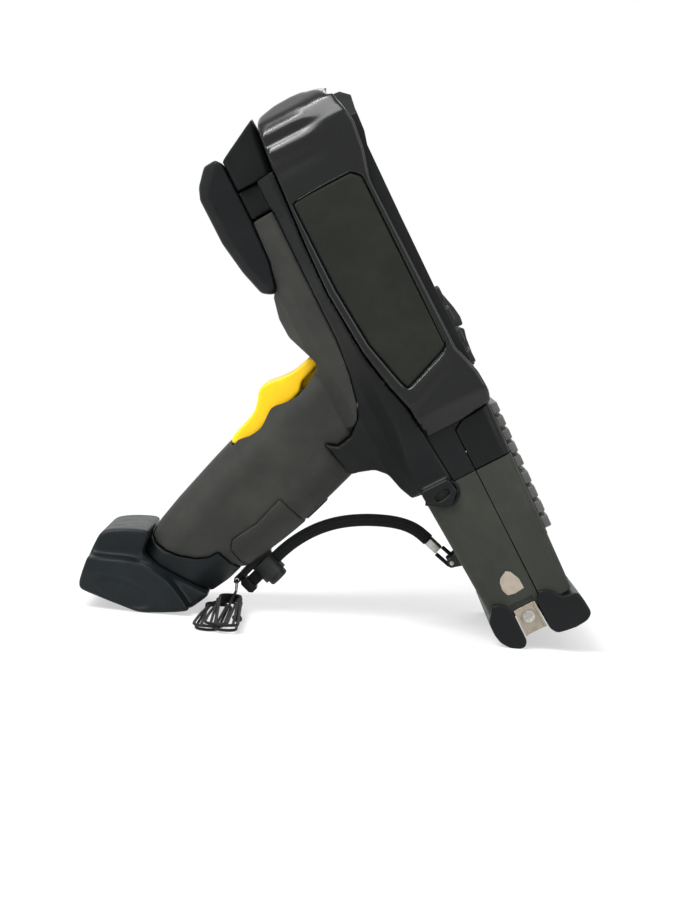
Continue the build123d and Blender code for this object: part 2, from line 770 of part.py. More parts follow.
glass_top = BEZEL_FACE - WALL
with BuildPart() as touch_panel:
    with BuildSketch(terminal_face(glass_top)):
        with Locations(((glass_low + glass_high - WALL - FIT) / 2, 0)):
            RectangleRounded(glass_high - glass_low - WALL - FIT, 2 * glass_half, 1.0)
    extrude(amount=-GLASS)
keep(touch_panel.part, "touch_panel")

with BuildPart() as display_module:
    with BuildSketch(terminal_face(MODULE_T)):
        with Locations(((glass_low + glass_high - WALL - FIT) / 2, 0)):
            Rectangle(glass_high - glass_low - WALL - FIT, 2 * (BEZEL_HALF - WALL - 2 * FIT))
    extrude(amount=glass_top - GLASS - MODULE_T)
keep(display_module.part, "display_module")

nav_mat_t = MODULE_T + MAT_THICK
nav_key_bottom = nav_mat_t + KEY_TRAVEL + 0.1
with BuildPart() as key_mats:
    with BuildSketch(keypad_plane(frame_middle, -KEY_DEPTH - KEY_TRAVEL - 0.1)):
        Rectangle(frame_high - frame_low, 2 * (BODY_HALF - WALL - FIT))
    extrude(amount=-MAT_THICK)
    with BuildSketch(terminal_face(MODULE_T)):
        with Locations(((DISPLAY_LOW + 2.0 + glass_low - 1.0) / 2, 0)):
            Rectangle(glass_low - DISPLAY_LOW - 3.0, 2 * (BEZEL_HALF - WALL - 2 * FIT))
    extrude(amount=MAT_THICK)
keep(key_mats.part, "key_mats")

with BuildPart() as nav_key:
    with BuildSketch(terminal_side()):
        Polygon(
            (NAV_SPLIT_HIGH, nav_key_bottom),
            (NAV_SPLIT_HIGH, 24.6),
            (119.0, 25.0),
            (123.3, 24.4),
            (129.5, 22.9),
            (NAV_HIGH, 21.8),
            (NAV_HIGH, nav_key_bottom),
            align=None,
        )
    extrude(amount=NAV_HALF, both=True)
    fillet(nav_key.edges().filter_by(Axis.Y).sort_by(lambda e: -e.center().dot(T_DIR))[0:3], 0.8)
keep(nav_key.part, "nav_key")

with BuildPart() as scan_key:
    with BuildSketch(terminal_side()):
        Polygon(
            (SCAN_LOW, nav_key_bottom),
            (SCAN_LOW, 21.8),
            (104.6, 22.8),
            (110.4, 23.4),
            (NAV_SPLIT_LOW, 24.4),
            (NAV_SPLIT_LOW, nav_key_bottom),
            align=None,
        )
    extrude(amount=NAV_HALF, both=True)
    fillet(scan_key.edges().filter_by(Axis.Y).sort_by(lambda e: -e.center().dot(T_DIR))[0:2], 0.8)
keep(scan_key.part, "scan_key")

with BuildPart() as side_keys:
    with BuildSketch(terminal_face(nav_key_bottom)):
        with Locations(*side_key_places):
            RectangleRounded(SIDE_KEY_LONG, SIDE_KEY_WIDE, 1.7)
    extrude(amount=BEZEL_FACE + 1.6 - nav_key_bottom)
    fillet(side_keys.faces().filter_by(lambda f: f.normal_at().dot(T_DIR) > 0.99).edges(), 0.6)
keep(side_keys.part, "side_keys")

board_low = BODY_END + WALL + 2.0
board_high = HEAD_END - BOOT_WALL - WALL - 14.0
with BuildPart() as main_board:
    with BuildSketch(terminal_face(BOARD_T)):
        with Locations(((board_low + board_high) / 2, 0)):
            Rectangle(board_high - board_low, 2 * BOARD_HALF)
    extrude(amount=BOARD_THICK)
keep(main_board.part, "main_board")

# ------------------------------------------------------------------ rear housing
with BuildPart() as battery_well:
    with BuildSketch(grip_section(-20.0)):
        with Locations((0, (STICK_BACK + STICK_FRONT) / 2)):
            RectangleRounded(
                2 * (STICK_HALF + STICK_GAP),
                STICK_BACK - STICK_FRONT + 2 * STICK_GAP,
                3.0 + STICK_GAP,
            )
    extrude(amount=STICK_TOP + STICK_GAP + 20.0)

crease_back = [to_terminal(g, h) for g, h in crease_line[2:]]
housing_outline = [
    (200.0, -14.0),
    *[(s, t - SEAM) for s, t in seam_line[2:-1]],
    (COLOUR_SPLIT + SEAM, seam_line[-1][1] - SEAM),
    (COLOUR_SPLIT + SEAM, -23.4),
    (70.7, -25.7),
    (77.7, -27.6),
    (81.6, -31.4),
    (83.4, -37.0),
    *reversed(crease_back),
    *reversed(shell_line),
    (188.2, -20.8),
    (188.2, -29.8),
    (200.0, -29.8),
]
with BuildPart() as housing_form:
    with BuildSketch(terminal_section(50.0)):
        Polygon(
            (-DISPLAY_HALF - 0.8, 0.0),
            (-DISPLAY_HALF - 0.8, -13.0),
            (-DISPLAY_HALF + 1.0, -16.6),
            (-BARREL_HALF - 2.0, -21.8),
            (-BARREL_HALF + 4.0, -28.0),
            (-NECK_HALF - 2.0, -50.0),
            (NECK_HALF + 2.0, -50.0),
            (BARREL_HALF - 4.0, -28.0),
            (BARREL_HALF + 2.0, -21.8),
            (DISPLAY_HALF - 1.0, -16.6),
            (DISPLAY_HALF + 0.8, -13.0),
            (DISPLAY_HALF + 0.8, 0.0),
            align=None,
        )
    extrude(amount=HEAD_END)
    with BuildSketch(terminal_face(-60.0)):
        Polygon(
            (50.0, BODY_HALF + 0.6),
            (KEYPAD_TOP - 6.0, BODY_HALF + 1.0),
            (DISPLAY_LOW, DISPLAY_HALF + 0.8),
            (HEAD_END + 18.0, DISPLAY_HALF + 0.8),
            (HEAD_END + 18.0, -DISPLAY_HALF - 0.8),
            (DISPLAY_LOW, -DISPLAY_HALF - 0.8),
            (KEYPAD_TOP - 6.0, -BODY_HALF - 1.0),
            (50.0, -BODY_HALF - 0.6),
            align=None,
        )
    extrude(amount=70.0, mode=Mode.INTERSECT)

LUG_THICK = 2.6
BARREL_ROOM_S = 150.0
BARREL_ROOM = 66.0
BARREL_WALL = 8.0
with BuildPart() as rear_housing:
    with BuildSketch(terminal_side()):
        Polygon(*housing_outline, align=None)
    extrude(amount=60.0, both=True)
    add(housing_form.part, mode=Mode.INTERSECT)
    with BuildSketch(terminal_face(-28.0)):
        with Locations((BARREL_ROOM_S, 0)):
            Rectangle(BARREL_ROOM, 2 * (BARREL_HALF - BARREL_WALL))
    extrude(amount=24.0, mode=Mode.SUBTRACT)
    with BuildSketch(terminal_face(-21.0)):
        with Locations((82.0, 0)):
            Rectangle(26.0, 2 * (NECK_HALF - 2.0))
    extrude(amount=17.0, mode=Mode.SUBTRACT)
    for side in (-1, 1):
        with BuildSketch(terminal_side(side * (NOSE_HALF - 3.0))):
            Polygon((187.6, -21.6), (187.6, -31.0), (201.0, -31.0), (201.0, -21.6), align=None)
        extrude(amount=side * 30.0, mode=Mode.SUBTRACT)
        with BuildSketch(terminal_side(side * (BODY_HALF + 0.1))):
            Polygon(
                (COLOUR_SPLIT + 2.0, -19.4),
                (COLOUR_SPLIT + 2.0, -7.6),
                (61.5, -6.6),
                (57.0, -11.1),
                (62.4, -19.4),
                align=None,
            )
        extrude(amount=side * LUG_THICK)
        with BuildSketch(terminal_side(side * BODY_HALF)):
            with Locations((62.6, -12.6)):
                SlotOverall(6.4, 2.6, rotation=80)
        extrude(amount=side * 10.0, mode=Mode.SUBTRACT)
    add(battery_well.part, mode=Mode.SUBTRACT)
keep(rear_housing.part, "rear_housing")

# ------------------------------------------------------------------ scanner nose
nose_low = 200.0 + SEAM
nose_back = -29.8
window_top = (222.4, -12.2)
window_bottom = (213.0, nose_back)
WINDOW_PANE_HALF = 21.0
PANE = 1.6
pane_run = math.hypot(window_top[0] - window_bottom[0], window_top[1] - window_bottom[1])
pane_turn = math.atan2(window_bottom[0] - window_top[0], window_bottom[1] - window_top[1])
pane_along = S_DIR * math.sin(pane_turn) + T_DIR * math.cos(pane_turn)
pane_normal = S_DIR * -math.cos(pane_turn) + T_DIR * math.sin(pane_turn)
pane_middle = (
    TERMINAL_DATUM
    + S_DIR * ((window_top[0] + window_bottom[0]) / 2)
    + T_DIR * ((window_top[1] + window_bottom[1]) / 2)
)
pane_plane = Plane(origin=pane_middle, x_dir=Y_DIR, z_dir=pane_normal)

with BuildPart() as nose_frame:
    with BuildSketch(terminal_side()):
        Polygon(
            (nose_low, -14.4),
            (218.0, -12.3),
            window_top,
            window_bottom,
            (nose_low, nose_back),
            align=None,
        )
    extrude(amount=NOSE_HALF, both=True)
    fillet(nose_frame.edges().filter_by(lambda e: abs(e.tangent_at(0.5).dot(S_DIR)) > 0.9), 3.0)
    with BuildSketch(pane_plane):
        RectangleRounded(2 * WINDOW_PANE_HALF, pane_run - 4.0, 2.0)
    extrude(amount=-2.4, mode=Mode.SUBTRACT)
    with BuildSketch(terminal_section(nose_low + WALL)):
        with Locations((0, (nose_back - 14.4) / 2)):
            Rectangle(2 * (WINDOW_PANE_HALF - 3.0), -nose_back - 14.4 - 2 * WALL)
    extrude(amount=40.0, mode=Mode.SUBTRACT)
keep(nose_frame.part, "nose_frame")

with BuildPart() as exit_window:
    with BuildSketch(pane_plane.offset(-2.4)):
        RectangleRounded(2 * (WINDOW_PANE_HALF - FIT), pane_run - 4.0 - 2 * FIT, 1.7)
    extrude(amount=PANE)
keep(exit_window.part, "exit_window")

ENGINE_HALF = 13.0
engine_low = nose_low + WALL
with BuildPart() as scan_engine:
    with BuildSketch(terminal_section(engine_low)):
        with Locations((0, (nose_back - 14.4) / 2)):
            Rectangle(2 * ENGINE_HALF, -nose_back - 14.4 - 2 * WALL - 2 * FIT)
    extrude(amount=8.4)
keep(scan_engine.part, "scan_engine")

guard_face = nose_back - 0.2
guard_outline = [
    (215.1, -32.0),
    (215.2, -37.1),
    (209.1, -42.5),
    (204.4, -44.4),
    (185.5, -44.4),
    (172.2, -42.4),
    (162.0, -39.7),
    (159.4, -36.2),
    (161.4, -33.6),
    (171.1, -31.0),
    (188.0, guard_face),
    (212.6, guard_face),
]
with BuildPart() as nose_guard:
    with BuildSketch(terminal_side()):
        Polygon(*guard_outline, align=None)
    extrude(amount=GUARD_HALF, both=True)
    guard_rims = nose_guard.edges().filter_by(lambda e: abs(e.tangent_at(0.5).dot(Y_DIR)) < 0.1)
    outer_rims = guard_rims.filter_by(lambda e: (e.center() - TERMINAL_DATUM).dot(T_DIR) < -38.0)
    chamfer(outer_rims, 4.0)
keep(nose_guard.part, "nose_guard")

# ------------------------------------------------------------------ handle form
trigger_back = from_pin([
    (4.9, -13.8),
    (1.6, -12.4),
    (-2.6, -11.0),
    (-9.3, -10.4),
    (-15.3, -12.3),
    (-18.3, -13.9),
    (-20.7, -14.3),
    (-23.2, -13.4),
    (-27.7, -11.7),
    (-31.0, -11.8),
    (-34.3, -12.6),
    (-40.8, -16.2),
])
SHELL_GAP = 0.2
barrel_under = [(171.1, -30.9), (161.2, -33.4), (158.6, -36.2), (150.0, -38.4), (142.0, -38.2), (131.0, -33.8)]
handle_outline = [to_grip(s, t) for s, t in [(187.2, guard_face + 0.2), *barrel_under]]
handle_outline += trigger_back
handle_outline += from_neck([(55.7, -15.9), (68.3, -15.2)])
handle_outline += [(26.5, -14.6)]
handle_outline += rim_line
handle_outline += [(38.3, 26.3)]
handle_outline += from_neck([(49.0, 26.6), (21.0, 26.7)])
handle_outline += [(g - SHELL_GAP, h) for g, h in reversed(crease_line[3:])]
crease_end = to_terminal(*crease_line[2])
handle_outline += [to_grip(crease_end[0] + 2 * SHELL_GAP, crease_end[1] - 1.7 * SHELL_GAP)]
handle_outline += [to_grip(s + SHELL_GAP, t - SHELL_GAP / 2) for s, t in reversed(shell_line)]

# Sections of the grip from foot to neck: station, front, back, half width.
grip_stations = [
    (2.0, -11.8, 21.0, GRIP_HALF - 1.4),
    (28.0, -14.8, 23.8, GRIP_HALF - 0.6),
    (GRIP_RUN - 57.0, -15.9, 26.6, GRIP_HALF),
    (GRIP_RUN - 21.0, -17.4, 26.9, NECK_HALF - 1.0),
    (GRIP_RUN + 3.0, -18.4, 27.2, NECK_HALF),
]


def grip_loft_sections(inset):
    """Rounded sections of the grip, drawn in by inset on every side."""
    for g, front, back, half in grip_stations:
        with BuildSketch(grip_section(g)) as section:
            with Locations((0, (front + back) / 2)):
                RectangleRounded(2 * (half - inset), back - front - 2 * inset, 14.0 - inset)
        yield section.sketch


PAD_THICK = 1.2
with BuildPart() as grip_form:
    loft(sections=list(grip_loft_sections(0.0)))
with BuildPart() as grip_core:
    loft(sections=list(grip_loft_sections(PAD_THICK)))

with BuildPart() as barrel_form:
    with BuildSketch(terminal_section(100.0)):
        Polygon(
            (-BARREL_HALF, -20.0),
            (-BARREL_HALF, -23.0),
            (-BARREL_HALF + 4.0, -29.0),
            (-BARREL_HALF + 10.0, -34.0),
            (-BARREL_HALF + 18.0, -38.0),
            (-BARREL_HALF + 24.0, -39.6),
            (BARREL_HALF - 24.0, -39.6),
            (BARREL_HALF - 18.0, -38.0),
            (BARREL_HALF - 10.0, -34.0),
            (BARREL_HALF - 4.0, -29.0),
            (BARREL_HALF, -23.0),
            (BARREL_HALF, -20.0),
            align=None,
        )
    extrude(amount=100.0)

PAD_TOP = RELEASE_LOW - 0.6
pad_outline = [
    (PAD_TOP, 60.0),
    (PAD_TOP, 13.2),
    (43.8, 13.6),
    (33.0, 11.6),
    (29.4, 14.0),
    (28.8, 20.0),
    (29.6, 60.0),
]
with BuildPart() as palm_pad:
    with BuildSketch(grip_side()):
        Polygon(*pad_outline, align=None)
    extrude(amount=40.0, both=True)
    add(grip_form.part, mode=Mode.INTERSECT)
    add(grip_core.part, mode=Mode.SUBTRACT)
keep(palm_pad.part, "palm_pad")

with BuildPart() as pad_pocket:
    with BuildSketch(grip_side()):
        with BuildLine():
            Polyline(*pad_outline, close=True)
        make_face()
        offset(amount=0.15)
    extrude(amount=40.0, both=True)
    add(grip_core.part, mode=Mode.SUBTRACT)

SLOT_FLOOR = -6.9
HUB = 4.0
HUB_HALF = 8.0
trigger_slot_half = TRIGGER_HALF + TRIGGER_GAP
with BuildPart() as handle_body:
    add(grip_form.part)
    add(barrel_form.part)
    with BuildSketch(grip_side()):
        Polygon(*handle_outline, align=None)
    extrude(amount=60.0, both=True, mode=Mode.INTERSECT)
    add(pad_pocket.part, mode=Mode.SUBTRACT)
    add(battery_well.part, mode=Mode.SUBTRACT)
    # The trigger's slot, deeper round its hub, and open at the front.
    with BuildSketch(grip_side()):
        Polygon(
            (PIN_G - 41.6, -30.0),
            (PIN_G - 41.6, SLOT_FLOOR),
            (PIN_G - 6.0, SLOT_FLOOR),
            (PIN_G + 7.0, -12.0),
            (PIN_G + 8.0, -30.0),
            align=None,
        )
        with Locations((PIN_G, PIN_H)):
            Circle(HUB + TRIGGER_GAP)
    extrude(amount=trigger_slot_half, both=True, mode=Mode.SUBTRACT)
    with BuildSketch(grip_side()):
        with Locations((PIN_G, PIN_H)):
            Circle(PIN_RADIUS)
    extrude(amount=trigger_slot_half + 4.0, both=True, mode=Mode.SUBTRACT)
    # Room inside the barrel and the neck for wiring and the trigger's switch.
    with BuildSketch(terminal_face(-29.0)):
        with Locations((BARREL_ROOM_S, 0)):
            Rectangle(BARREL_ROOM, 2 * (BARREL_HALF - BARREL_WALL))
    extrude(amount=20.0, mode=Mode.SUBTRACT)
    with BuildSketch(grip_side()):
        Polygon(
            (STICK_TOP + 2.0, SLOT_FLOOR - 1.0),
            (STICK_TOP + 2.0, 7.0),
            (STICK_TOP + 18.0, 3.0),
            (STICK_TOP + 18.0, SLOT_FLOOR + 4.0),
            (STICK_TOP + 9.0, SLOT_FLOOR + 4.0),
            (STICK_TOP + 9.0, SLOT_FLOOR - 1.0),
            align=None,
        )
    extrude(amount=10.0, both=True, mode=Mode.SUBTRACT)
    with BuildSketch(grip_layer(STICK_BACK - 2.0)):
        with Locations(((RELEASE_LOW + RELEASE_HIGH) / 2, 0)):
            RectangleRounded(RELEASE_HIGH - RELEASE_LOW, 2 * RELEASE_HALF, 2.0)
    extrude(amount=20.0, mode=Mode.SUBTRACT)
    add(handle_screw_wells.part, mode=Mode.SUBTRACT)

for side, side_name, kept in ((-1, "left", Keep.BOTTOM), (1, "right", Keep.TOP)):
    with BuildPart() as grip_shell:
        add(handle_body.part)
        split(bisect_by=Plane(origin=(0, 0, 0), x_dir=(1, 0, 0), z_dir=(0, 1, 0)), keep=kept)
    keep(grip_shell.part, "grip_shell_" + side_name)

# ------------------------------------------------------------------ trigger
paddle_outline = from_pin([
    (5.4, -14.6),
    (5.6, -16.2),
    (4.2, -17.9),
    (0.2, -17.9),
    (-4.4, -18.4),
    (-9.6, -20.2),
    (-14.2, -22.4),
    (-17.1, -23.0),
    (-19.4, -22.4),
    (-22.0, -20.3),
    (-25.2, -18.3),
    (-28.9, -17.4),
    (-37.9, -17.1),
    (-40.8, -16.2),
    (-40.8, -15.2),
    (-39.6, -10.8),
    (-8.0, -10.8),
    (-4.4, -13.2),
    (4.6, -13.6),
])
with BuildPart() as trigger:
    with BuildSketch(grip_side()):
        Polygon(*paddle_outline, align=None)
    extrude(amount=TRIGGER_HALF, both=True)
    with BuildSketch(grip_side()):
        with Locations((PIN_G, PIN_H)):
            Circle(HUB)
        Polygon(
            (PIN_G - 7.0, -11.2),
            (PIN_G - 3.8, -9.2),
            (PIN_G + 3.8, -9.2),
            (PIN_G + 3.8, -14.0),
            (PIN_G - 7.0, -14.0),
            align=None,
        )
    extrude(amount=HUB_HALF, both=True)
    with BuildSketch(grip_side()):
        with Locations((PIN_G, PIN_H)):
            Circle(PIN_RADIUS + PIN_CLEAR)
    extrude(amount=TRIGGER_HALF + 1.0, both=True, mode=Mode.SUBTRACT)
keep(trigger.part, "trigger")

with BuildPart() as trigger_pin:
    with BuildSketch(grip_side()):
        with Locations((PIN_G, PIN_H)):
            Circle(PIN_RADIUS)
    extrude(amount=trigger_slot_half + 4.0, both=True)
keep(trigger_pin.part, "trigger_pin")

SPRING_WIRE = 0.45
SPRING_TURNS = 4
spring_start = HUB_HALF + 0.3
with BuildPart() as trigger_spring:
    for side in (-1, 1):
        with BuildSketch(grip_side(side * spring_start)):
            with Locations((PIN_G, PIN_H)):
                Circle(PIN_RADIUS + 0.3 + 2 * SPRING_WIRE)
                Circle(PIN_RADIUS + 0.3, mode=Mode.SUBTRACT)
        extrude(amount=side * 2 * SPRING_WIRE * SPRING_TURNS)
keep(trigger_spring.part, "trigger_spring")

with BuildPart() as trigger_switch:
    with BuildSketch(grip_side()):
        Polygon(
            (STICK_TOP + 2.4, -6.4),
            (STICK_TOP + 2.4, -0.6),
            (STICK_TOP + 8.8, -0.6),
            (STICK_TOP + 8.8, -6.4),
            (STICK_TOP + 6.6, -6.4),
            (STICK_TOP + 6.6, -9.4),
            (STICK_TOP + 4.4, -9.4),
            (STICK_TOP + 4.4, -6.4),
            align=None,
        )
    extrude(amount=3.0, both=True)
keep(trigger_switch.part, "trigger_switch")

# ------------------------------------------------------------------ battery and foot
foot_top = [
    (13.0, -13.6),
    (11.9, -15.8),
    (8.1, -20.0),
    (4.0, -23.9),
    (0.8, -26.2),
    (-1.8, -26.8),
    (-6.4, -25.4),
    (-10.0, -24.0),
]
foot_sole = [
    (-17.2, -20.6),
    (-20.6, -18.7),
    (-21.5, -16.8),
    (-20.0, -13.0),
    (ground_g(4.9), 4.9),
    (ground_g(9.1), 9.1),
    (-1.7, 15.6),
    (3.0, 19.4),
]
foot_crease = [(4.0, 15.3), (5.0, 9.0), (5.3, 4.0), (4.3, -2.1), (2.4, -7.9), (-0.3, -12.4), (-5.4, -18.5)]
collar_base = [(12.0, 20.6), (10.2, 16.0), (8.7, 10.9), (6.6, 4.6), (5.1, -0.7), (4.5, -9.6), (9.4, -11.6)]
with BuildPart() as battery_foot:
    with BuildSketch(grip_side()):
        Polygon((-10.0, -24.0), *foot_sole, *foot_crease, align=None)
    extrude(amount=FOOT_HALF, both=True)
    with BuildSketch(grip_layer(-40.0)):
        RectangleRounded(60.0, 2 * FOOT_HALF, 12.0)
    extrude(amount=80.0, mode=Mode.INTERSECT)
    with BuildSketch(grip_side()):
        Polygon(*foot_top, *foot_sole, *collar_base, align=None)
    extrude(amount=FOOT_HALF - 7.0, both=True)
keep(battery_foot.part, "battery_foot")

rim_under = [(g - SEAM, h) for g, h in rim_line]
stick_low = 4.0
with BuildPart() as battery_stick:
    with BuildSketch(grip_section(stick_low)):
        with Locations((0, (STICK_BACK + STICK_FRONT) / 2)):
            RectangleRounded(2 * STICK_HALF, STICK_BACK - STICK_FRONT, 3.0)
    extrude(amount=STICK_TOP - stick_low)
    add(battery_foot.part, mode=Mode.SUBTRACT)
keep(battery_stick.part, "battery_stick")

with BuildPart() as battery_collar:
    with BuildSketch(grip_section(-5.0)):
        with Locations((0, 4.6)):
            RectangleRounded(2 * COLLAR_HALF, 35.6, 12.0)
    extrude(amount=40.0)
    with BuildSketch(grip_side()):
        Polygon(
            *rim_under[:-1],
            (27.2, 22.4),
            (19.7, 22.4),
            *collar_base,
            (13.0, -13.6),
            align=None,
        )
    extrude(amount=40.0, both=True, mode=Mode.INTERSECT)
    add(battery_stick.part, mode=Mode.SUBTRACT)
    add(battery_foot.part, mode=Mode.SUBTRACT)
keep(battery_collar.part, "battery_collar")

PAD_COUNT = 5
PAD_PITCH = 4.0
with BuildPart() as battery_contacts:
    with BuildSketch(grip_section(STICK_TOP)):
        with Locations((0, (STICK_BACK + STICK_FRONT) / 2)):
            with GridLocations(PAD_PITCH, 1, PAD_COUNT, 1):
                Rectangle(2.4, 9.0)
    extrude(amount=0.3)
keep(battery_contacts.part, "battery_contacts")

RELEASE_TRAVEL = 1.0
with BuildPart() as battery_release:
    with BuildSketch(grip_layer(STICK_BACK + 0.2 + RELEASE_TRAVEL)):
        with Locations(((RELEASE_LOW + RELEASE_HIGH) / 2, 0)):
            RectangleRounded(RELEASE_HIGH - RELEASE_LOW - 2 * FIT, 2 * (RELEASE_HALF - FIT), 1.7)
    extrude(amount=20.0)
    add(grip_form.part, mode=Mode.INTERSECT)
keep(battery_release.part, "battery_release")

# ------------------------------------------------------------------ keypad end
boot_skin = 1.6
end_half = BODY_HALF + boot_skin
with BuildPart() as end_boot_rear:
    with BuildSketch(terminal_side()):
        Polygon(
            (16.1, -14.8),
            (12.0, -17.6),
            (10.9, -18.8),
            (5.2, -19.0),
            (1.3, -18.2),
            (ground_s(-16.1), -16.1),
            (ground_s(-12.0), -12.0),
            (-4.2, -10.4),
            (-2.7, BRACKET_BACK - 0.2),
            (12.0, BRACKET_BACK - 0.2),
            (15.3, -11.5),
            align=None,
        )
    extrude(amount=end_half, both=True)
    add(body_envelope.part, mode=Mode.SUBTRACT)
keep(end_boot_rear.part, "end_boot_rear")

with BuildPart() as end_boot_front:
    with BuildSketch(terminal_side()):
        Polygon(
            (13.3, 3.6),
            (12.5, 6.6),
            (10.7, 8.9),
            (8.4, 9.9),
            (7.2, 11.0),
            (6.4, 16.2),
            (5.0, 17.2),
            (1.1, 17.8),
            (-3.1, 18.1),
            (-4.2, 17.7),
            (-5.7, 15.3),
            (-6.1, 10.6),
            (-5.7, 7.1),
            (-4.9, 2.8),
            (-2.0, BRACKET_FRONT + 0.2),
            (10.0, BRACKET_FRONT + 0.2),
            align=None,
        )
    extrude(amount=end_half, both=True)
    add(body_envelope.part, mode=Mode.SUBTRACT)
keep(end_boot_front.part, "end_boot_front")

with BuildPart() as dock_brackets:
    for side in (-1, 1):
        with BuildSketch(terminal_side(side * (BODY_HALF - BRACKET_THICK))):
            Polygon(
                (BRACKET_LOW, BRACKET_BACK + FIT),
                (BRACKET_HIGH, BRACKET_BACK + FIT),
                (BRACKET_HIGH, BRACKET_FRONT - FIT),
                (BRACKET_LOW, BRACKET_FRONT - FIT),
                align=None,
            )
            with Locations((SCREW_S, SCREW_T)):
                Circle(SCREW_SHANK, mode=Mode.SUBTRACT)
        extrude(amount=side * BRACKET_THICK)
        for rim_t in (BRACKET_BACK + FIT, BRACKET_FRONT - FIT - RIM):
            with BuildSketch(terminal_side(side * BODY_HALF)):
                Polygon(
                    (BRACKET_LOW, rim_t),
                    (BRACKET_HIGH, rim_t),
                    (BRACKET_HIGH, rim_t + RIM),
                    (BRACKET_LOW, rim_t + RIM),
                    align=None,
                )
            extrude(amount=side * RIM)
keep(dock_brackets.part, "dock_brackets")

with BuildPart() as interface_connector:
    with BuildSketch(terminal_section(BRACKET_LOW + 1.0)):
        with Locations((0, (BRACKET_BACK + BRACKET_FRONT) / 2)):
            RectangleRounded(
                2 * (CONNECTOR_HALF - FIT), BRACKET_FRONT - BRACKET_BACK - 2.4 - 2 * FIT, 1.7
            )
    extrude(amount=BODY_END + WALL - BRACKET_LOW)
    with BuildSketch(terminal_section(BRACKET_LOW + 1.0)):
        with Locations((0, (BRACKET_BACK + BRACKET_FRONT) / 2)):
            with GridLocations(2.4, 2.6, 12, 2):
                Rectangle(1.2, 1.4)
    extrude(amount=2.0, mode=Mode.SUBTRACT)
keep(interface_connector.part, "interface_connector")

# ------------------------------------------------------------------ strap and tether fittings
# The lug on the grip's foot end, with the clip that holds the strap's lower end.
STRAP_RADIUS = 2.5
STRAP_H = 30.0
CLIP_LOW = 20.4
CLIP_HIGH = 24.0
CLIP_LIP = 3.2
LUG_HALF = 3.5
LUG_TIP_HALF = 0.8
LUG_BACK = 26.7
LUG_HOLE_G = 20.2
LUG_HOLE_H = 25.4
with BuildPart() as lanyard_lug:
    with BuildSketch(grip_side()):
        Polygon(
            (38.5, LUG_BACK),
            (38.5, 24.0),
            (20.0, 24.0),
            (18.4, 25.2),
            (19.2, LUG_BACK),
            align=None,
        )
        with Locations((LUG_HOLE_G, LUG_HOLE_H)):
            Circle(0.7, mode=Mode.SUBTRACT)
    extrude(amount=LUG_HALF, both=True)
    add(grip_form.part, mode=Mode.SUBTRACT)
    for side in (-1, 1):
        with BuildSketch(grip_side(side * LUG_TIP_HALF)):
            Polygon((10.0, 20.0), (23.5, 20.0), (23.5, 30.0), (10.0, 30.0), align=None)
        extrude(amount=side * 10.0, mode=Mode.SUBTRACT)
    with BuildSketch(grip_side()):
        Polygon(
            (CLIP_LOW + 1.0, LUG_BACK - 0.2),
            (CLIP_HIGH, LUG_BACK - 0.2),
            (CLIP_HIGH, STRAP_H + CLIP_LIP),
            (CLIP_LOW + 1.0, STRAP_H + CLIP_LIP),
            (CLIP_LOW, STRAP_H + CLIP_LIP - 1.2),
            (CLIP_LOW, LUG_BACK + 1.0),
            align=None,
        )
    extrude(amount=LUG_HALF, both=True)
keep(lanyard_lug.part, "lanyard_lug")

RING_RADIUS = 2.4
RING_WIRE = 0.5
lug_hole = GRIP_DATUM + G_DIR * LUG_HOLE_G + H_DIR * LUG_HOLE_H
ring_centre = lug_hole - Vector(0, 0, RING_RADIUS)
with BuildPart() as tether_ring:
    with BuildSketch(Plane(origin=ring_centre, x_dir=(0, 0, 1), z_dir=(0, 1, 0))):
        with Locations((RING_RADIUS, 0)):
            Circle(RING_WIRE)
    revolve(axis=Axis(ring_centre, (1, 0, 0)), revolution_arc=360)
keep(tether_ring.part, "tether_ring")

# ------------------------------------------------------------------ cord lock
LOCK_G = 33.0
LOCK_RADIUS = 5.2
LOCK_LOW = LUG_BACK + 0.1
LOCK_HIGH = 34.6
PLUNGER_RADIUS = 4.1
PLUNGER_TRAVEL = 0.8
with BuildPart() as cord_lock:
    with BuildSketch(grip_layer(LOCK_LOW)):
        with Locations((LOCK_G, 0)):
            Circle(LOCK_RADIUS)
    extrude(amount=LOCK_HIGH - LOCK_LOW)
    with BuildSketch(grip_layer(LOCK_HIGH - 1.2)):
        with Locations((LOCK_G, 0)):
            Circle(PLUNGER_RADIUS + FIT)
    extrude(amount=5.0, mode=Mode.SUBTRACT)
    with BuildSketch(grip_section(LOCK_G - 10.0)):
        with Locations((0, STRAP_H)):
            Circle(STRAP_RADIUS + FIT)
    extrude(amount=20.0, mode=Mode.SUBTRACT)
keep(cord_lock.part, "cord_lock")

with BuildPart() as lock_plunger:
    with BuildSketch(grip_layer(LOCK_HIGH - 1.2 + PLUNGER_TRAVEL + 0.1)):
        with Locations((LOCK_G, 0)):
            Circle(PLUNGER_RADIUS)
    extrude(amount=2.8)
    fillet(lock_plunger.faces().sort_by(lambda f: f.center().dot(H_DIR))[-1].edges(), 1.0)
keep(lock_plunger.part, "lock_plunger")

# ------------------------------------------------------------------ wrist strap
strap_start = GRIP_DATUM + G_DIR * CLIP_HIGH + H_DIR * STRAP_H
strap_second = GRIP_DATUM + G_DIR * (CLIP_HIGH + 8.6) + H_DIR * STRAP_H
strap_route = [
    (strap_start.X, 0.0, strap_start.Z),
    (strap_second.X, 0.0, strap_second.Z),
    (-21.4, -0.1, 24.9),
    (-14.8, -0.4, 30.7),
    (-7.6, -0.9, 35.2),
    (0.4, -1.4, 38.3),
    (9.0, -1.7, 39.9),
    (17.0, -1.6, 40.3),
    (23.4, -1.2, 39.9),
    (28.7, -0.7, 38.6),
    (33.0, -0.3, 36.4),
    (36.2, 0.0, 33.8),
]
LEAST_SHARE = 0.45


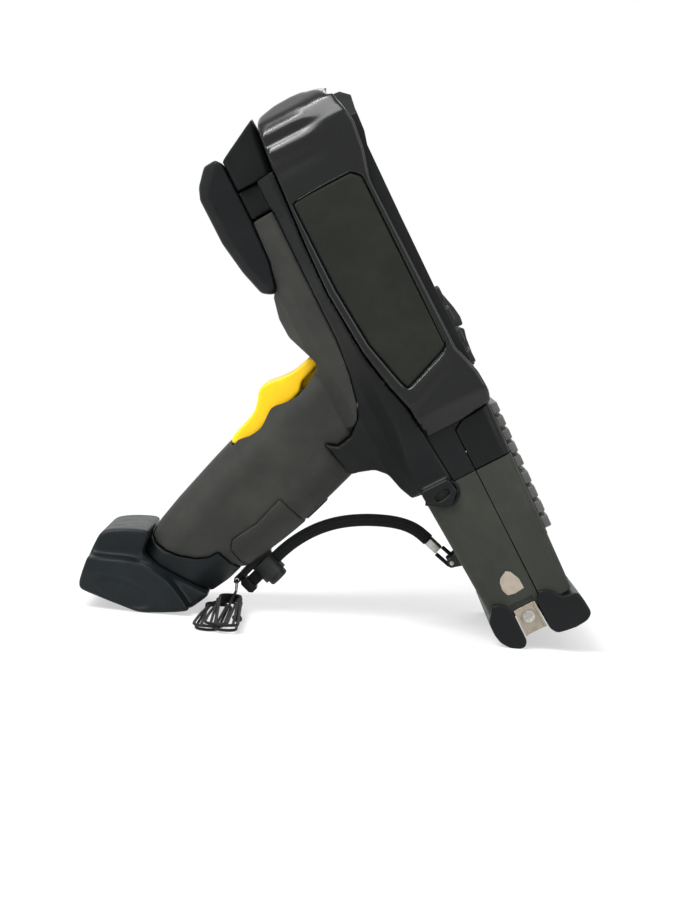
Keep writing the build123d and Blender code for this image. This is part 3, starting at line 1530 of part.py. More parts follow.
def route_radii(route):
    """Arc radius at each inner point: as large as its two runs allow."""
    points = [Vector(*point) for point in route]
    radii = []
    for before, at, after in zip(points, points[1:], points[2:]):
        arriving = at - before
        leaving = after - at
        half_turn = math.radians(arriving.get_angle(leaving)) / 2
        radii.append(LEAST_SHARE * min(arriving.length, leaving.length) / math.tan(half_turn))
    return radii


def cord_tube(route, radius):
    """Solid tube along straight runs joined by tangent arcs."""
    radii = route_radii(route)
    print("cord radii", [round(r, 1) for r in radii])
    with BuildPart() as tube:
        with BuildLine() as path:
            FilletPolyline(*route, radius=radii)
        start = path.line @ 0
        heading = path.line % 0
        with BuildSketch(Plane(origin=start, z_dir=heading)):
            Circle(radius)
        sweep(path=path.line)
    length = sum(edge.length for edge in path.edges())
    volume_share = tube.part.volume / (math.pi * radius**2 * length)
    print("cord length", round(length, 1), "volume share", round(volume_share, 4))
    return tube.part


keep(cord_tube(strap_route, STRAP_RADIUS), "wrist_strap")

crimp_start = Vector(*strap_route[-1])
crimp_along = (crimp_start - Vector(*strap_route[-2])).normalized()
CRIMP_LONG = 5.6
crimp_plane = Plane(origin=crimp_start, x_dir=(0, 1, 0), z_dir=crimp_along)
with BuildPart() as strap_crimp:
    with BuildSketch(crimp_plane):
        RectangleRounded(5.2, 4.0, 1.2)
    extrude(amount=CRIMP_LONG)
keep(strap_crimp.part, "strap_crimp")

# A thin loop of cord from the crimp round the strap bar.
LOOP_RADIUS = 0.8
bar_centre = TERMINAL_DATUM + S_DIR * BAR_S + T_DIR * BAR_T
loop_start = crimp_start + crimp_along * CRIMP_LONG
loop_reach = bar_centre - loop_start
loop_x = loop_reach.normalized()
loop_plane = Plane(origin=bar_centre, x_dir=loop_x, z_dir=(0, 1, 0))
loop_bend = BAR_RADIUS + LOOP_RADIUS + 0.15
with BuildPart() as strap_loop:
    with BuildLine(loop_plane) as loop_path:
        Line((-loop_reach.length + 0.6, -loop_bend), (0, -loop_bend))
        CenterArc((0, 0), loop_bend, -90, 180)
        Line((0, loop_bend), (-loop_reach.length + 0.6, loop_bend))
    with BuildSketch(Plane(origin=loop_path.line @ 0, z_dir=loop_path.line % 0)):
        Circle(LOOP_RADIUS)
    sweep(path=loop_path.line)
keep(strap_loop.part, "strap_loop")

# ------------------------------------------------------------------ tether hank
HANK_TOP = 10.4
with BuildPart() as tether_hank:
    with BuildSketch(Plane.XY.offset(0.3)):
        Polygon(
            (-36.5, -4.0),
            (-42.6, -4.0),
            (-46.5, -16.0),
            (-49.4, -31.5),
            (-55.0, -40.0),
            (-56.0, -60.0),
            (-36.0, -60.0),
            align=None,
        )
    extrude(amount=HANK_TOP)
    with BuildSketch(Plane.YZ.offset(-80.0)):
        Polygon(
            (-4.0, HANK_TOP),
            (-7.0, HANK_TOP),
            (-16.0, 6.6),
            (-30.0, 5.6),
            (-61.0, 5.0),
            (-61.0, 0.0),
            (-12.0, 0.0),
            (-4.0, 4.2),
            align=None,
        )
    extrude(amount=80.0, mode=Mode.INTERSECT)
keep(tether_hank.part, "tether_hank")
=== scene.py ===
# %% [markdown]
# # A pistol-grip data terminal
# The real object is a rugged handheld computer: a display and keypad in moulded shells and rubber
# boots, on a pistol grip with a trigger and a slide-out battery foot.  The hard shells come from the
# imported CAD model.  The rubber, the soft-edged grip, the webbing and the cord are modelled here.

# %% Load the frame
import math

import bmesh
import bpy
from mathutils import Matrix, Vector


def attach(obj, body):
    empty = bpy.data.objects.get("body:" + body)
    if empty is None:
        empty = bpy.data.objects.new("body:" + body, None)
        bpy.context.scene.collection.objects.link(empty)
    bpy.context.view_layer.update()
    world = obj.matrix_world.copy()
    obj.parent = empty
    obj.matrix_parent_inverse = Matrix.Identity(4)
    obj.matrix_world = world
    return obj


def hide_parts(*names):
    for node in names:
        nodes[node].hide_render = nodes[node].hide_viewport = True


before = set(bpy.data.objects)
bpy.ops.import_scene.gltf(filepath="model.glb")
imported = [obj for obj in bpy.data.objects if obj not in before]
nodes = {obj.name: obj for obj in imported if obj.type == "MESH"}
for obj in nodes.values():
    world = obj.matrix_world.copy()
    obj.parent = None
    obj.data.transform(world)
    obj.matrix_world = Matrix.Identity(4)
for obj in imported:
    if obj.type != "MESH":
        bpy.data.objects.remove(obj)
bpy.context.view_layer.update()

# %% [markdown]
# Nearly every outline of the terminal lies in one of two side planes, so points are written in them.
# In the terminal's plane S runs from the keypad end to the scanner end and T from the back to the
# display.  In the grip's plane G runs from the foot to the neck and H from the trigger to the back.
# Writing points this way keeps the numbers equal to sizes that a ruler would give on the object.

# %% Directions and helpers for points
MM = 0.001
TERMINAL_LEAN = math.radians(58.2)
HANDLE_ANGLE = math.radians(72.4)
ROOT_S, ROOT_T, GRIP_RUN = 114.5, -28.6, 105.0
S_DIR = Vector((-math.cos(TERMINAL_LEAN), 0, math.sin(TERMINAL_LEAN)))
T_DIR = Vector((math.sin(TERMINAL_LEAN), 0, math.cos(TERMINAL_LEAN)))
grip_slope = math.pi - TERMINAL_LEAN - HANDLE_ANGLE
G_DIR = Vector((math.cos(grip_slope), 0, math.sin(grip_slope)))
H_DIR = Vector((math.sin(grip_slope), 0, -math.cos(grip_slope)))
TERMINAL_DATUM = Vector((81.66, 0, 9.9))
GRIP_DATUM = TERMINAL_DATUM + S_DIR * ROOT_S + T_DIR * ROOT_T - G_DIR * GRIP_RUN


def on_terminal(s, t, y=0.0):
    """A point of the terminal in metres, from S, T and Y in millimetres."""
    return (TERMINAL_DATUM + S_DIR * s + T_DIR * t + Vector((0, y, 0))) * MM


def on_grip(g, h, y=0.0):
    """A point of the grip in metres, from G, H and Y in millimetres."""
    return (GRIP_DATUM + G_DIR * g + H_DIR * h + Vector((0, y, 0))) * MM


def smoothstep(low, high, value):
    """0 below low, 1 above high, and a soft S between them."""
    share = min(1.0, max(0.0, (value - low) / (high - low)))
    return share * share * (3.0 - 2.0 * share)


def terminal_place(point):
    """S, T and Y in millimetres of a point in metres."""
    spot = point / MM - TERMINAL_DATUM
    return spot.dot(S_DIR), spot.dot(T_DIR), spot.y


def grip_place(point):
    """G, H and Y in millimetres of a point in metres."""
    spot = point / MM - GRIP_DATUM
    return spot.dot(G_DIR), spot.dot(H_DIR), spot.y


print("grip datum", [round(x, 2) for x in GRIP_DATUM])

# %% [markdown]
# The camera looks across the device from its left side, a little above it, and is tipped a few
# degrees.  A 75 mm lens from three quarters of a metre gives the flat, product-shot perspective.

# %% Camera
CAMERA_LIFT = math.radians(5.0)
CAMERA_ROLL = math.radians(4.8)
CAMERA_REACH = 750.0
AIM = Vector((-3.0, 0.0, 66.85))
forward = Vector((0, math.cos(CAMERA_LIFT), -math.sin(CAMERA_LIFT)))
level = Vector((1, 0, 0))
upright = level.cross(forward)
right = level * math.cos(CAMERA_ROLL) + upright * math.sin(CAMERA_ROLL)
up = upright * math.cos(CAMERA_ROLL) - level * math.sin(CAMERA_ROLL)
camera_data = bpy.data.cameras.new("camera")
camera_data.lens = 75.0
camera_data.sensor_width = 36.0
camera_data.clip_start = 0.05
camera_data.clip_end = 20.0
camera = bpy.data.objects.new("camera", camera_data)
bpy.context.scene.collection.objects.link(camera)
turn = Matrix((right, up, -forward)).transposed()
camera.matrix_world = Matrix.Translation((AIM - forward * CAMERA_REACH) * MM) @ turn.to_4x4()
bpy.context.scene.camera = camera
bpy.context.scene.view_settings.view_transform = "Standard"
print("camera at", [round(x, 3) for x in camera.matrix_world.translation])

# %% [markdown]
# ## The wrist strap
# The strap is 5 mm webbing that stands on edge.  It leaves the clip on the grip, passes through a cord
# lock, rises in a low arch and ends in a crimp and a thin loop on the keypad section.  A curve is the
# right tool: the arch is one smooth NURBS line, and its extrusion gives the webbing its width.

# %% Curve helper and the wrist strap
def cord_curve(name, points):
    """An open NURBS line through control points in metres; bevel and extrusion are then millimetres."""
    data = bpy.data.curves.new(name, "CURVE")
    data.dimensions = "3D"
    data.resolution_u = 10
    data.twist_mode = "Z_UP"
    spline = data.splines.new("NURBS")
    spline.points.add(len(points) - 1)
    for place, point in zip(spline.points, points):
        place.co = (*point, 1.0)
        place.radius = MM
    spline.order_u = 3
    spline.use_endpoint_u = True
    piece = bpy.data.objects.new(name, data)
    bpy.context.scene.collection.objects.link(piece)
    return piece


def line_length(piece):
    """Length in metres of a curve's own line."""
    data = piece.data.copy()
    data.bevel_depth = 0.0
    data.extrude = 0.0
    bare = bpy.data.objects.new("bare", data)
    mesh = bpy.data.meshes.new_from_object(bare)
    ends = [[mesh.vertices[index].co for index in edge.vertices] for edge in mesh.edges]
    total = sum((first - second).length for first, second in ends)
    bpy.data.objects.remove(bare)
    bpy.data.curves.remove(data)
    bpy.data.meshes.remove(mesh)
    return total


STRAP_WIDTH = 5.0
STRAP_THICK = 1.3
CLIP_HIGH, STRAP_H = 24.0, 30.0
strap_points = [on_grip(CLIP_HIGH, STRAP_H), on_grip(CLIP_HIGH + 8.6, STRAP_H)]
strap_points += [Vector(point) * MM for point in [
    (-21.4, -0.1, 24.9),
    (-14.8, -0.4, 30.7),
    (-7.6, -0.9, 35.2),
    (0.4, -1.4, 38.3),
    (9.0, -1.7, 39.9),
    (17.0, -1.6, 40.3),
    (23.4, -1.2, 39.9),
    (28.7, -0.7, 38.6),
    (33.0, -0.3, 36.4),
    (36.2, 0.0, 33.8),
]]
strap = cord_curve("wrist_strap_webbing", strap_points)
strap.data.bevel_depth = STRAP_THICK / 2
strap.data.bevel_resolution = 3
strap.data.extrude = (STRAP_WIDTH - STRAP_THICK) / 2
strap_length = line_length(strap)
print("strap length", round(strap_length, 4))
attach(strap, "terminal")
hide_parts("wrist_strap")

# %% [markdown]
# ## The tether hank
# A thin braided tether hangs from a ring on the grip's lug.  It is folded into a loose hank of two
# lobes, and the hank lies on the table in front of the ring.  Each turn is a long narrow loop a little
# different from the last, and the turns pile up under the ring.  No fold is tighter than three times
# the cord's thickness.

# %% The tether as one long line
TETHER = 1.1
RING_FOOT = Vector((-39.0, -2.0, 6.6))
HANK_NEAR = -9.4
FOLD = 4.2
CORD_STEP = 1.5
LOWEST = 0.6
PILE = 0.75
# One line a turn: its reach away from the ring, its middle at the near and at the far fold, and its
# height at the far fold.
hank_turns = [
    (42.6, -45.6, -46.2, 0.6),
    (40.4, -44.2, -44.4, 1.5),
    (44.6, -45.8, -47.0, 2.3),
    (43.4, -42.6, -43.0, 3.1),
    (45.0, -40.2, -39.4, 1.4),
    (42.2, -41.6, -40.8, 2.6),
    (45.6, -40.4, -38.8, 3.4),
]


def hank_point(number, run):
    """The cord's centre after run millimetres of one turn: out on the right side, back on the left."""
    reach, near_x, far_x, far_z = hank_turns[number]
    arc = math.pi * FOLD
    if run < reach:
        across, along = FOLD, run
    elif run < reach + arc:
        angle = (run - reach) / FOLD
        across, along = FOLD * math.cos(angle), reach + FOLD * math.sin(angle)
    elif run < 2 * reach + arc:
        across, along = -FOLD, 2 * reach + arc - run
    else:
        angle = (run - 2 * reach - arc) / FOLD
        across, along = -FOLD * math.cos(angle), -FOLD * math.sin(angle)
    turned = smoothstep(reach + arc, 2 * (reach + arc), run)
    next_near = hank_turns[min(number + 1, len(hank_turns) - 1)][1]
    near_x += (next_near - near_x) * turned
    near_z = LOWEST + PILE * (number + turned)
    share = along / reach
    height = near_z + (far_z - near_z) * smoothstep(0.0, 1.0, share)
    return Vector((near_x + (far_x - near_x) * share + across, HANK_NEAR - along, height))


def eased(start, end, steps):
    """Evenly spaced points from start to end; the side shift and the fall ease in and out."""
    points = []
    for step in range(steps):
        share = step / steps
        ease = smoothstep(0.0, 1.0, share)
        between = start.lerp(end, ease)
        points.append(Vector((between.x, start.y + (end.y - start.y) * share, between.z)))
    return points


RUN_IN, RUN_IN_STEPS = 20.0, 15
KNOT_AT, TAIL_STEPS = Vector((-36.2, -33.0, 1.5)), 12
tether_points = eased(RING_FOOT, hank_point(0, RUN_IN), RUN_IN_STEPS)
for number, turn_sizes in enumerate(hank_turns):
    first = RUN_IN if number == 0 else 0.0
    whole = 2 * (turn_sizes[0] + math.pi * FOLD)
    steps = round((whole - first) / CORD_STEP)
    tether_points += [hank_point(number, first + (whole - first) * step / steps) for step in range(steps)]
tether_points += eased(tether_points[-1] + Vector((0, -CORD_STEP, 0)), KNOT_AT, TAIL_STEPS) + [KNOT_AT]
tether_points = [point * MM for point in tether_points]
tether = cord_curve("tether_cord", tether_points)
tether.data.bevel_depth = TETHER / 2
tether.data.bevel_resolution = 3
tether.data.resolution_u = 6
tether_length = line_length(tether)
print("tether length", round(tether_length, 4), "points", len(tether_points))

# %% The knot at its end
KNOT_ROUND = 0.5625
KNOT_DEEP = 0.7425
KNOT_STEPS = 18
knot_points = [KNOT_AT + Vector((KNOT_ROUND * (math.sin(a) + 2 * math.sin(2 * a)),
                                 KNOT_ROUND * (math.cos(a) - 2 * math.cos(2 * a)),
                                 -KNOT_DEEP * math.sin(3 * a)))
               for a in [2 * math.pi * step / KNOT_STEPS for step in range(KNOT_STEPS)]]
knot = cord_curve("tether_knot", [point * MM for point in knot_points])
knot.data.splines[0].use_endpoint_u = False
knot.data.splines[0].use_cyclic_u = True
knot.data.bevel_depth = TETHER / 2
knot.data.bevel_resolution = 3
print("knot", [round(x, 4) for x in knot_points[0]])

# %% [markdown]
# ## The studio
# A pale floor runs up into a backdrop with a wide curve, so no horizon line shows.  Three large
# soft lamps light the object, and a narrow one gives the rubber its long highlights.  The world is dim
# for diffuse light and white where the camera or a mirror-like surface looks past the object.

# %% Floor, lamps and world
def add_node(tree, kind, values=None, links=None, **settings):
    """Adds a node with its settings, its plain input values and its links, and returns it."""
    made = tree.nodes.new(kind)
    for name, value in settings.items():
        setattr(made, name, value)
    for name, value in (values or {}).items():
        made.inputs[name].default_value = value
    for name, source in (links or {}).items():
        tree.links.new(source, made.inputs[name])
    return made


def linear(hex_colour):
    """An sRGB hex colour as linear red, green, blue and a full alpha."""
    parts = [int(hex_colour[i:i + 2], 16) / 255 for i in (1, 3, 5)]
    return tuple(p / 12.92 if p <= 0.04045 else ((p + 0.055) / 1.055) ** 2.4 for p in parts) + (1.0,)


def two_tone(tree, share, first, second):
    """The output of a mix from one hex colour to another."""
    tone = add_node(tree, "ShaderNodeMix", {6: linear(first), 7: linear(second)}, {0: share},
                    data_type="RGBA")
    return tone.outputs[2]


def new_material(name):
    """An empty material with its node tree and output."""
    material = bpy.data.materials.new(name)
    material.use_nodes = True
    material.node_tree.nodes.clear()
    return material, material.node_tree


def seen_directly(tree):
    """1 for camera, glossy and transmission rays, 0 for the rays that light the object."""
    path = add_node(tree, "ShaderNodeLightPath")
    first = add_node(tree, "ShaderNodeMath", operation="MAXIMUM",
                     links={0: path.outputs["Is Camera Ray"], 1: path.outputs["Is Glossy Ray"]})
    both = add_node(tree, "ShaderNodeMath", operation="MAXIMUM",
                    links={0: first.outputs[0], 1: path.outputs["Is Transmission Ray"]})
    return both.outputs[0]


SHADOW_REACH = (0.14, 0.42)
SHADOW_SHARE = 0.45


def paint_floor():
    """White paint that keeps part of its shading near the object and is plain white further out."""
    material, tree = new_material("studio_floor_white_paint")
    diffuse = add_node(tree, "ShaderNodeBsdfDiffuse", {"Color": linear("#ffffff")})
    glow = add_node(tree, "ShaderNodeEmission", {"Color": (1, 1, 1, 1), "Strength": 1.0})
    place = add_node(tree, "ShaderNodeTexCoord").outputs["Object"]
    away = add_node(tree, "ShaderNodeVectorMath", links={0: place}, operation="LENGTH")
    near, far = SHADOW_REACH
    plain = add_node(tree, "ShaderNodeMapRange", {"From Min": near, "From Max": far,
                                                  "To Min": 1.0 - SHADOW_SHARE, "To Max": 1.0},
                     {"Value": away.outputs["Value"]}, interpolation_type="SMOOTHSTEP")
    share = add_node(tree, "ShaderNodeMath", links={0: seen_directly(tree), 1: plain.outputs[0]},
                     operation="MULTIPLY")
    mixed = add_node(tree, "ShaderNodeMixShader", links={0: share.outputs[0], 1: diffuse.outputs[0],
                                                         2: glow.outputs[0]})
    add_node(tree, "ShaderNodeOutputMaterial", links={"Surface": mixed.outputs[0]})
    return material


FLOOR_HALF = 3.0
FLOOR_FRONT, BEND_FROM = -2.4, 1.2
BEND_ROUND = 0.8
WALL_HIGH = 3.0
sweep = bmesh.new()
corner = sweep.verts.new((-FLOOR_HALF, FLOOR_FRONT, 0))
start = sweep.edges.new((corner, sweep.verts.new((-FLOOR_HALF, BEND_FROM, 0))))
bend = bmesh.ops.spin(sweep, geom=[start.verts[1]], cent=(0, BEND_FROM, BEND_ROUND), axis=(1, 0, 0),
                      angle=math.radians(90), steps=16, use_merge=False, use_duplicate=False)
top = [v for v in bend["geom_last"] if isinstance(v, bmesh.types.BMVert)]
wall = sweep.verts.new(top[0].co + Vector((0, 0, WALL_HIGH)))
sweep.edges.new((top[0], wall))
across = bmesh.ops.extrude_edge_only(sweep, edges=sweep.edges[:])
bmesh.ops.translate(sweep, verts=[v for v in across["geom"] if isinstance(v, bmesh.types.BMVert)],
                    vec=(2 * FLOOR_HALF, 0, 0))
bmesh.ops.recalc_face_normals(sweep, faces=sweep.faces[:])
floor_mesh = bpy.data.meshes.new("studio_floor")
sweep.to_mesh(floor_mesh)
sweep.free()
floor = bpy.data.objects.new("studio_floor", floor_mesh)
bpy.context.scene.collection.objects.link(floor)
for face in floor_mesh.polygons:
    face.use_smooth = True
floor_mesh.materials.append(paint_floor())


OBJECT_MIDDLE = Vector((0, 0, 0.1))


def soft_lamp(name, place, size, watts):
    """A rectangular area lamp, its place and size in metres, that faces the middle of the object."""
    data = bpy.data.lights.new(name, "AREA")
    data.shape = "RECTANGLE"
    data.size, data.size_y = size
    data.energy = watts
    lamp = bpy.data.objects.new(name, data)
    bpy.context.scene.collection.objects.link(lamp)
    towards = OBJECT_MIDDLE - Vector(place)
    lamp.matrix_world = Matrix.Translation(place) @ towards.to_track_quat("-Z", "Y").to_matrix().to_4x4()
    return lamp


soft_lamp("key_lamp", (-0.55, -0.75, 1.25), (0.9, 0.6), 15.0)
soft_lamp("fill_lamp", (1.1, -1.0, 0.8), (1.0, 1.0), 7.0)
soft_lamp("back_lamp", (0.2, 1.0, 1.2), (1.2, 0.6), 10.0)
soft_lamp("strip_lamp", (-0.75, -0.55, 0.95), (0.06, 0.9), 9.0)
world = bpy.data.worlds.new("studio_world")
bpy.context.scene.world = world
world.use_nodes = True
world.node_tree.nodes.clear()
dim = add_node(world.node_tree, "ShaderNodeMapRange", {"To Min": 0.32, "To Max": 1.0},
               {"Value": seen_directly(world.node_tree)})
sky = add_node(world.node_tree, "ShaderNodeBackground", {"Color": (1, 1, 1, 1)},
               {"Strength": dim.outputs[0]})
add_node(world.node_tree, "ShaderNodeOutputWorld", links={"Surface": sky.outputs[0]})

# %% [markdown]
# ## Materials
# Most of the device is moulded: ABS-polycarbonate shells with a spark-eroded texture, and
# thermoplastic rubber boots that come smooth out of a polished mould.  Both are one recipe with
# different numbers.  Handling leaves patches that are a little lighter and smoother, edges wear to a
# satin, and the mould's grain is a fine bump.  Patterns use Object coordinates, which are metres.

# %% The recipe for moulded plastic and rubber
def per_mm(size):
    """Noise scale for a pattern whose grains are this many millimetres wide, on metre coordinates."""
    return 1 / MM / size


def moulded(name, colour, handled, grain, grain_depth, roughness, spread, specular, patch=18.0):
    """Moulded plastic or rubber: colour and handled are hex, grain and patch are sizes in mm."""
    material, tree = new_material(name)
    place = add_node(tree, "ShaderNodeTexCoord").outputs["Object"]
    cloud = add_node(tree, "ShaderNodeTexNoise", {"Scale": per_mm(patch), "Detail": 4.0, "Roughness": 0.6},
                     {"Vector": place})
    rubbed = add_node(tree, "ShaderNodeMapRange", {"From Min": 0.42, "From Max": 0.68},
                      {"Value": cloud.outputs["Fac"]})
    edge = add_node(tree, "ShaderNodeNewGeometry")
    worn = add_node(tree, "ShaderNodeMapRange", {"From Min": 0.52, "From Max": 0.60, "To Max": 0.7},
                    {"Value": edge.outputs["Pointiness"]})
    amount = add_node(tree, "ShaderNodeMath", links={0: rubbed.outputs[0], 1: worn.outputs[0]},
                      operation="MAXIMUM")
    tone = two_tone(tree, amount.outputs[0], colour, handled)
    smudge = add_node(tree, "ShaderNodeTexNoise", {"Scale": per_mm(6.0), "Detail": 5.0, "Roughness": 0.65},
                      {"Vector": place})
    dull = add_node(tree, "ShaderNodeMapRange", {"From Min": 0.3, "From Max": 0.7,
                                                 "To Min": roughness - spread, "To Max": roughness + spread},
                    {"Value": smudge.outputs["Fac"]})
    speck = add_node(tree, "ShaderNodeTexNoise", {"Scale": per_mm(grain), "Detail": 2.0}, {"Vector": place})
    relief = add_node(tree, "ShaderNodeBump", {"Strength": 1.0, "Distance": grain_depth * MM},
                      {"Height": speck.outputs["Fac"]})
    surface = add_node(tree, "ShaderNodeBsdfPrincipled", {"IOR": 1.5, "Specular IOR Level": specular},
                       {"Base Color": tone, "Roughness": dull.outputs[0],
                        "Normal": relief.outputs[0]})
    add_node(tree, "ShaderNodeOutputMaterial", links={"Surface": surface.outputs[0]})
    return material


# Warm dark grey ABS-PC with a spark-eroded skin: broad, dull highlights.
GREY_SHELL = moulded("grey_abs_spark_eroded", "#2b2d29", "#33352f", 0.45, 0.035, 0.56, 0.06, 0.18)
# The grip's halves: the same plastic in a slightly browner grey.
GREY_GRIP = moulded("grip_abs_spark_eroded", "#2c2d2a", "#343531", 0.5, 0.04, 0.58, 0.06, 0.18)
# Near-black ABS-PC for the housing, the bezel and the keypad's top: finer texture, a little more sheen.
BLACK_SHELL = moulded("black_abs_fine_texture", "#0e0f10", "#151617", 0.35, 0.02, 0.42, 0.07, 0.16)
# Thermoplastic rubber from a polished mould: smooth and almost wet-looking, with long highlights.
BLACK_RUBBER = moulded("black_tpe_polished_mould", "#08090a", "#0b0c0e", 1.6, 0.015, 0.22, 0.05, 0.32)
# The same rubber from a satin mould, for the nose guard and the end boots: soft, wide highlights.
GUARD_RUBBER = moulded("guard_tpe_satin_mould", "#0f1112", "#141617", 0.6, 0.02, 0.4, 0.06, 0.16)
# Flat insert between the boot's rims: olive black, matt, with a soft-touch lacquer.
OLIVE_PANEL = moulded("side_panel_soft_touch_lacquer", "#191c17", "#20231d", 0.4, 0.03, 0.55, 0.05, 0.16)
# The battery foot: black with a trace of teal, satin.
TEAL_FOOT = moulded("foot_pc_satin_mould", "#111618", "#171d1f", 0.5, 0.02, 0.42, 0.06, 0.18)
# Injection-moulded bright yellow acetal for the trigger.
YELLOW = moulded("trigger_acetal_yellow", "#f7c400", "#fccf08", 0.9, 0.012, 0.36, 0.05, 0.4, patch=9.0)
# Black silicone keys from a textured mould: a soft sheen and no clear reflection.
KEY_BLACK = moulded("key_silicone_black", "#1a1b1c", "#232425", 0.4, 0.02, 0.5, 0.06, 0.35)
# Light grey polycarbonate key caps: satin, a little uneven where fingers polish them.
KEY_GREY = moulded("key_cap_pc_light_grey", "#5c5d5b", "#696a67", 0.4, 0.02, 0.42, 0.06, 0.3, patch=5.0)
# The grey silicone mats under the keys: dull.
SILICONE = moulded("keypad_mat_silicone", "#4a4a49", "#555554", 0.5, 0.02, 0.6, 0.05, 0.3)
# Green solder mask on the circuit board: glossier than the plastics.
BOARD = moulded("circuit_board_solder_mask", "#0c3a1c", "#114726", 0.6, 0.02, 0.4, 0.06, 0.5)
print("moulded materials", len(bpy.data.materials))


# %% [markdown]
# Metal parts are stamped or turned steel with a dull plating, so they keep the default IOR.  The
# grain of the sheet shows as fine lines along one direction, with a few darker handling marks.

# %% Metals and glass
ROLLED_LINE = 0.25
ROLLED_STRETCH = 14.0


def plated(name, colour, tarnish, roughness):
    """Plated sheet metal: fine rolled lines along X, and cloudy tarnish."""
    material, tree = new_material(name)
    place = add_node(tree, "ShaderNodeTexCoord").outputs["Object"]
    stretched = add_node(tree, "ShaderNodeMapping", {"Scale": (1.0 / ROLLED_STRETCH, 1.0, 1.0)},
                         {"Vector": place})
    lines = add_node(tree, "ShaderNodeTexNoise", {"Scale": per_mm(ROLLED_LINE), "Detail": 3.0},
                     {"Vector": stretched.outputs[0]})
    cloud = add_node(tree, "ShaderNodeTexNoise", {"Scale": per_mm(3.0), "Detail": 5.0}, {"Vector": place})
    marks = add_node(tree, "ShaderNodeMapRange", {"From Min": 0.45, "From Max": 0.7},
                     {"Value": cloud.outputs["Fac"]})
    tone = two_tone(tree, marks.outputs[0], colour, tarnish)
    dull = add_node(tree, "ShaderNodeMapRange", {"To Min": roughness - 0.08, "To Max": roughness + 0.1},
                    {"Value": lines.outputs["Fac"]})
    relief = add_node(tree, "ShaderNodeBump", {"Strength": 0.6, "Distance": 0.01 * MM},
                      {"Height": lines.outputs["Fac"]})
    surface = add_node(tree, "ShaderNodeBsdfPrincipled", {"Metallic": 1.0},
                       {"Base Color": tone, "Roughness": dull.outputs[0],
                        "Normal": relief.outputs[0]})
    add_node(tree, "ShaderNodeOutputMaterial", links={"Surface": surface.outputs[0]})
    return material


# Dull zinc on the stamped brackets: warm grey and cloudy.
BRACKET = plated("bracket_steel_dull_zinc", "#a0978a", "#918878", 0.45)
# Bead-blasted aluminium on the latch plates: paler, with no clear reflection.
PLATE = plated("latch_plate_bead_blasted_aluminium", "#b0a698", "#a39a8c", 0.5)
# Nickel on turned steel, for screws, pins and rings: the brightest metal.
STEEL = plated("screw_steel_nickel", "#b4b2ac", "#8d8a84", 0.3)
# A gold flash on the battery contacts: yellow and smooth.
GOLD = plated("contact_gold_flash", "#d9b25a", "#b8923f", 0.25)


def coated_glass(name, colour, roughness):
    """Dark glass with an anti-glare film: a little cloudy, with faint finger marks."""
    material, tree = new_material(name)
    place = add_node(tree, "ShaderNodeTexCoord").outputs["Object"]
    marks = add_node(tree, "ShaderNodeTexNoise", {"Scale": per_mm(14.0), "Detail": 6.0}, {"Vector": place})
    dull = add_node(tree, "ShaderNodeMapRange", {"From Min": 0.35, "From Max": 0.7, "To Min": roughness,
                                                 "To Max": roughness + 0.14},
                    {"Value": marks.outputs["Fac"]})
    surface = add_node(tree, "ShaderNodeBsdfPrincipled",
                       {"Base Color": linear(colour), "IOR": 1.5,
                        "Coat Weight": 0.3, "Coat Roughness": 0.15},
                       {"Roughness": dull.outputs[0]})
    add_node(tree, "ShaderNodeOutputMaterial", links={"Surface": surface.outputs[0]})
    return material


# The touch panel: anti-glare glass over a display that is switched off, so a flat dark grey.
TOUCH_GLASS = coated_glass("touch_glass_anti_glare", "#2a2f30", 0.16)
# The exit window: deep red filter acrylic, clearer than the touch panel.
SCAN_GLASS = coated_glass("exit_window_filter_acrylic", "#3a0d10", 0.06)
print("materials", len(bpy.data.materials))

# %% [markdown]
# Webbing and braid are spun polyester.  The yarns of the strap cross its width, so their lines are
# laid across the strap's own length with its UV map, and a second set of lines gives the weave.
# Where both sets are high, a lighter tone is painted in as the glint of the yarn.

# %% Woven polyester
def woven(name, colour, light, along_mm, across_mm, round_mm, length_mm):
    """Woven or braided polyester on a curve's UV map: U runs along the cord, V round it."""
    material, tree = new_material(name)
    place = add_node(tree, "ShaderNodeTexCoord").outputs["UV"]
    sized = add_node(tree, "ShaderNodeMapping", {"Scale": (length_mm / along_mm, round_mm / across_mm, 1.0)},
                     {"Vector": place})
    picks = add_node(tree, "ShaderNodeTexWave", {"Scale": 1.0, "Distortion": 0.6, "Detail": 1.0},
                     {"Vector": sized.outputs[0]}, bands_direction="DIAGONAL")
    ends = add_node(tree, "ShaderNodeTexWave", {"Scale": 0.8, "Distortion": 0.4, "Detail": 1.0},
                    {"Vector": sized.outputs[0]}, bands_direction="Y")
    weave_and_glint = add_node(tree, "ShaderNodeMath", links={0: picks.outputs["Fac"], 1: ends.outputs["Fac"]},
                    operation="MULTIPLY")
    # The lighter colour is a painted glint where the yarn lines cross; the same lines also drive the real
    # bump.
    tone = two_tone(tree, weave_and_glint.outputs[0], colour, light)
    relief = add_node(tree, "ShaderNodeBump", {"Strength": 0.8, "Distance": 0.12 * MM},
                      {"Height": weave_and_glint.outputs[0]})
    surface = add_node(tree, "ShaderNodeBsdfPrincipled",
                       {"Roughness": 0.75, "Specular IOR Level": 0.25, "Sheen Weight": 0.15,
                        "Sheen Roughness": 0.4},
                       {"Base Color": tone, "Normal": relief.outputs[0]})
    add_node(tree, "ShaderNodeOutputMaterial", links={"Surface": surface.outputs[0]})
    return material


# Polyester webbing: matt black, with grey glints where the yarns turn over.
WEBBING = woven("strap_webbing_polyester", "#0c0d0e", "#1d1f21", 0.9, 0.7, 12.0, strap_length / MM)
# Polyester braid: the same yarn in a finer pattern, with the same painted grey glints.
BRAID = woven("tether_braid_polyester", "#0b0b0c", "#222427", 0.6, 0.5, 4.0, tether_length / MM)
strap.data.materials.append(WEBBING)
for cord in (tether, knot):
    cord.data.materials.append(BRAID)
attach(knot, "terminal")
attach(tether, "terminal")
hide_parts("tether_hank")

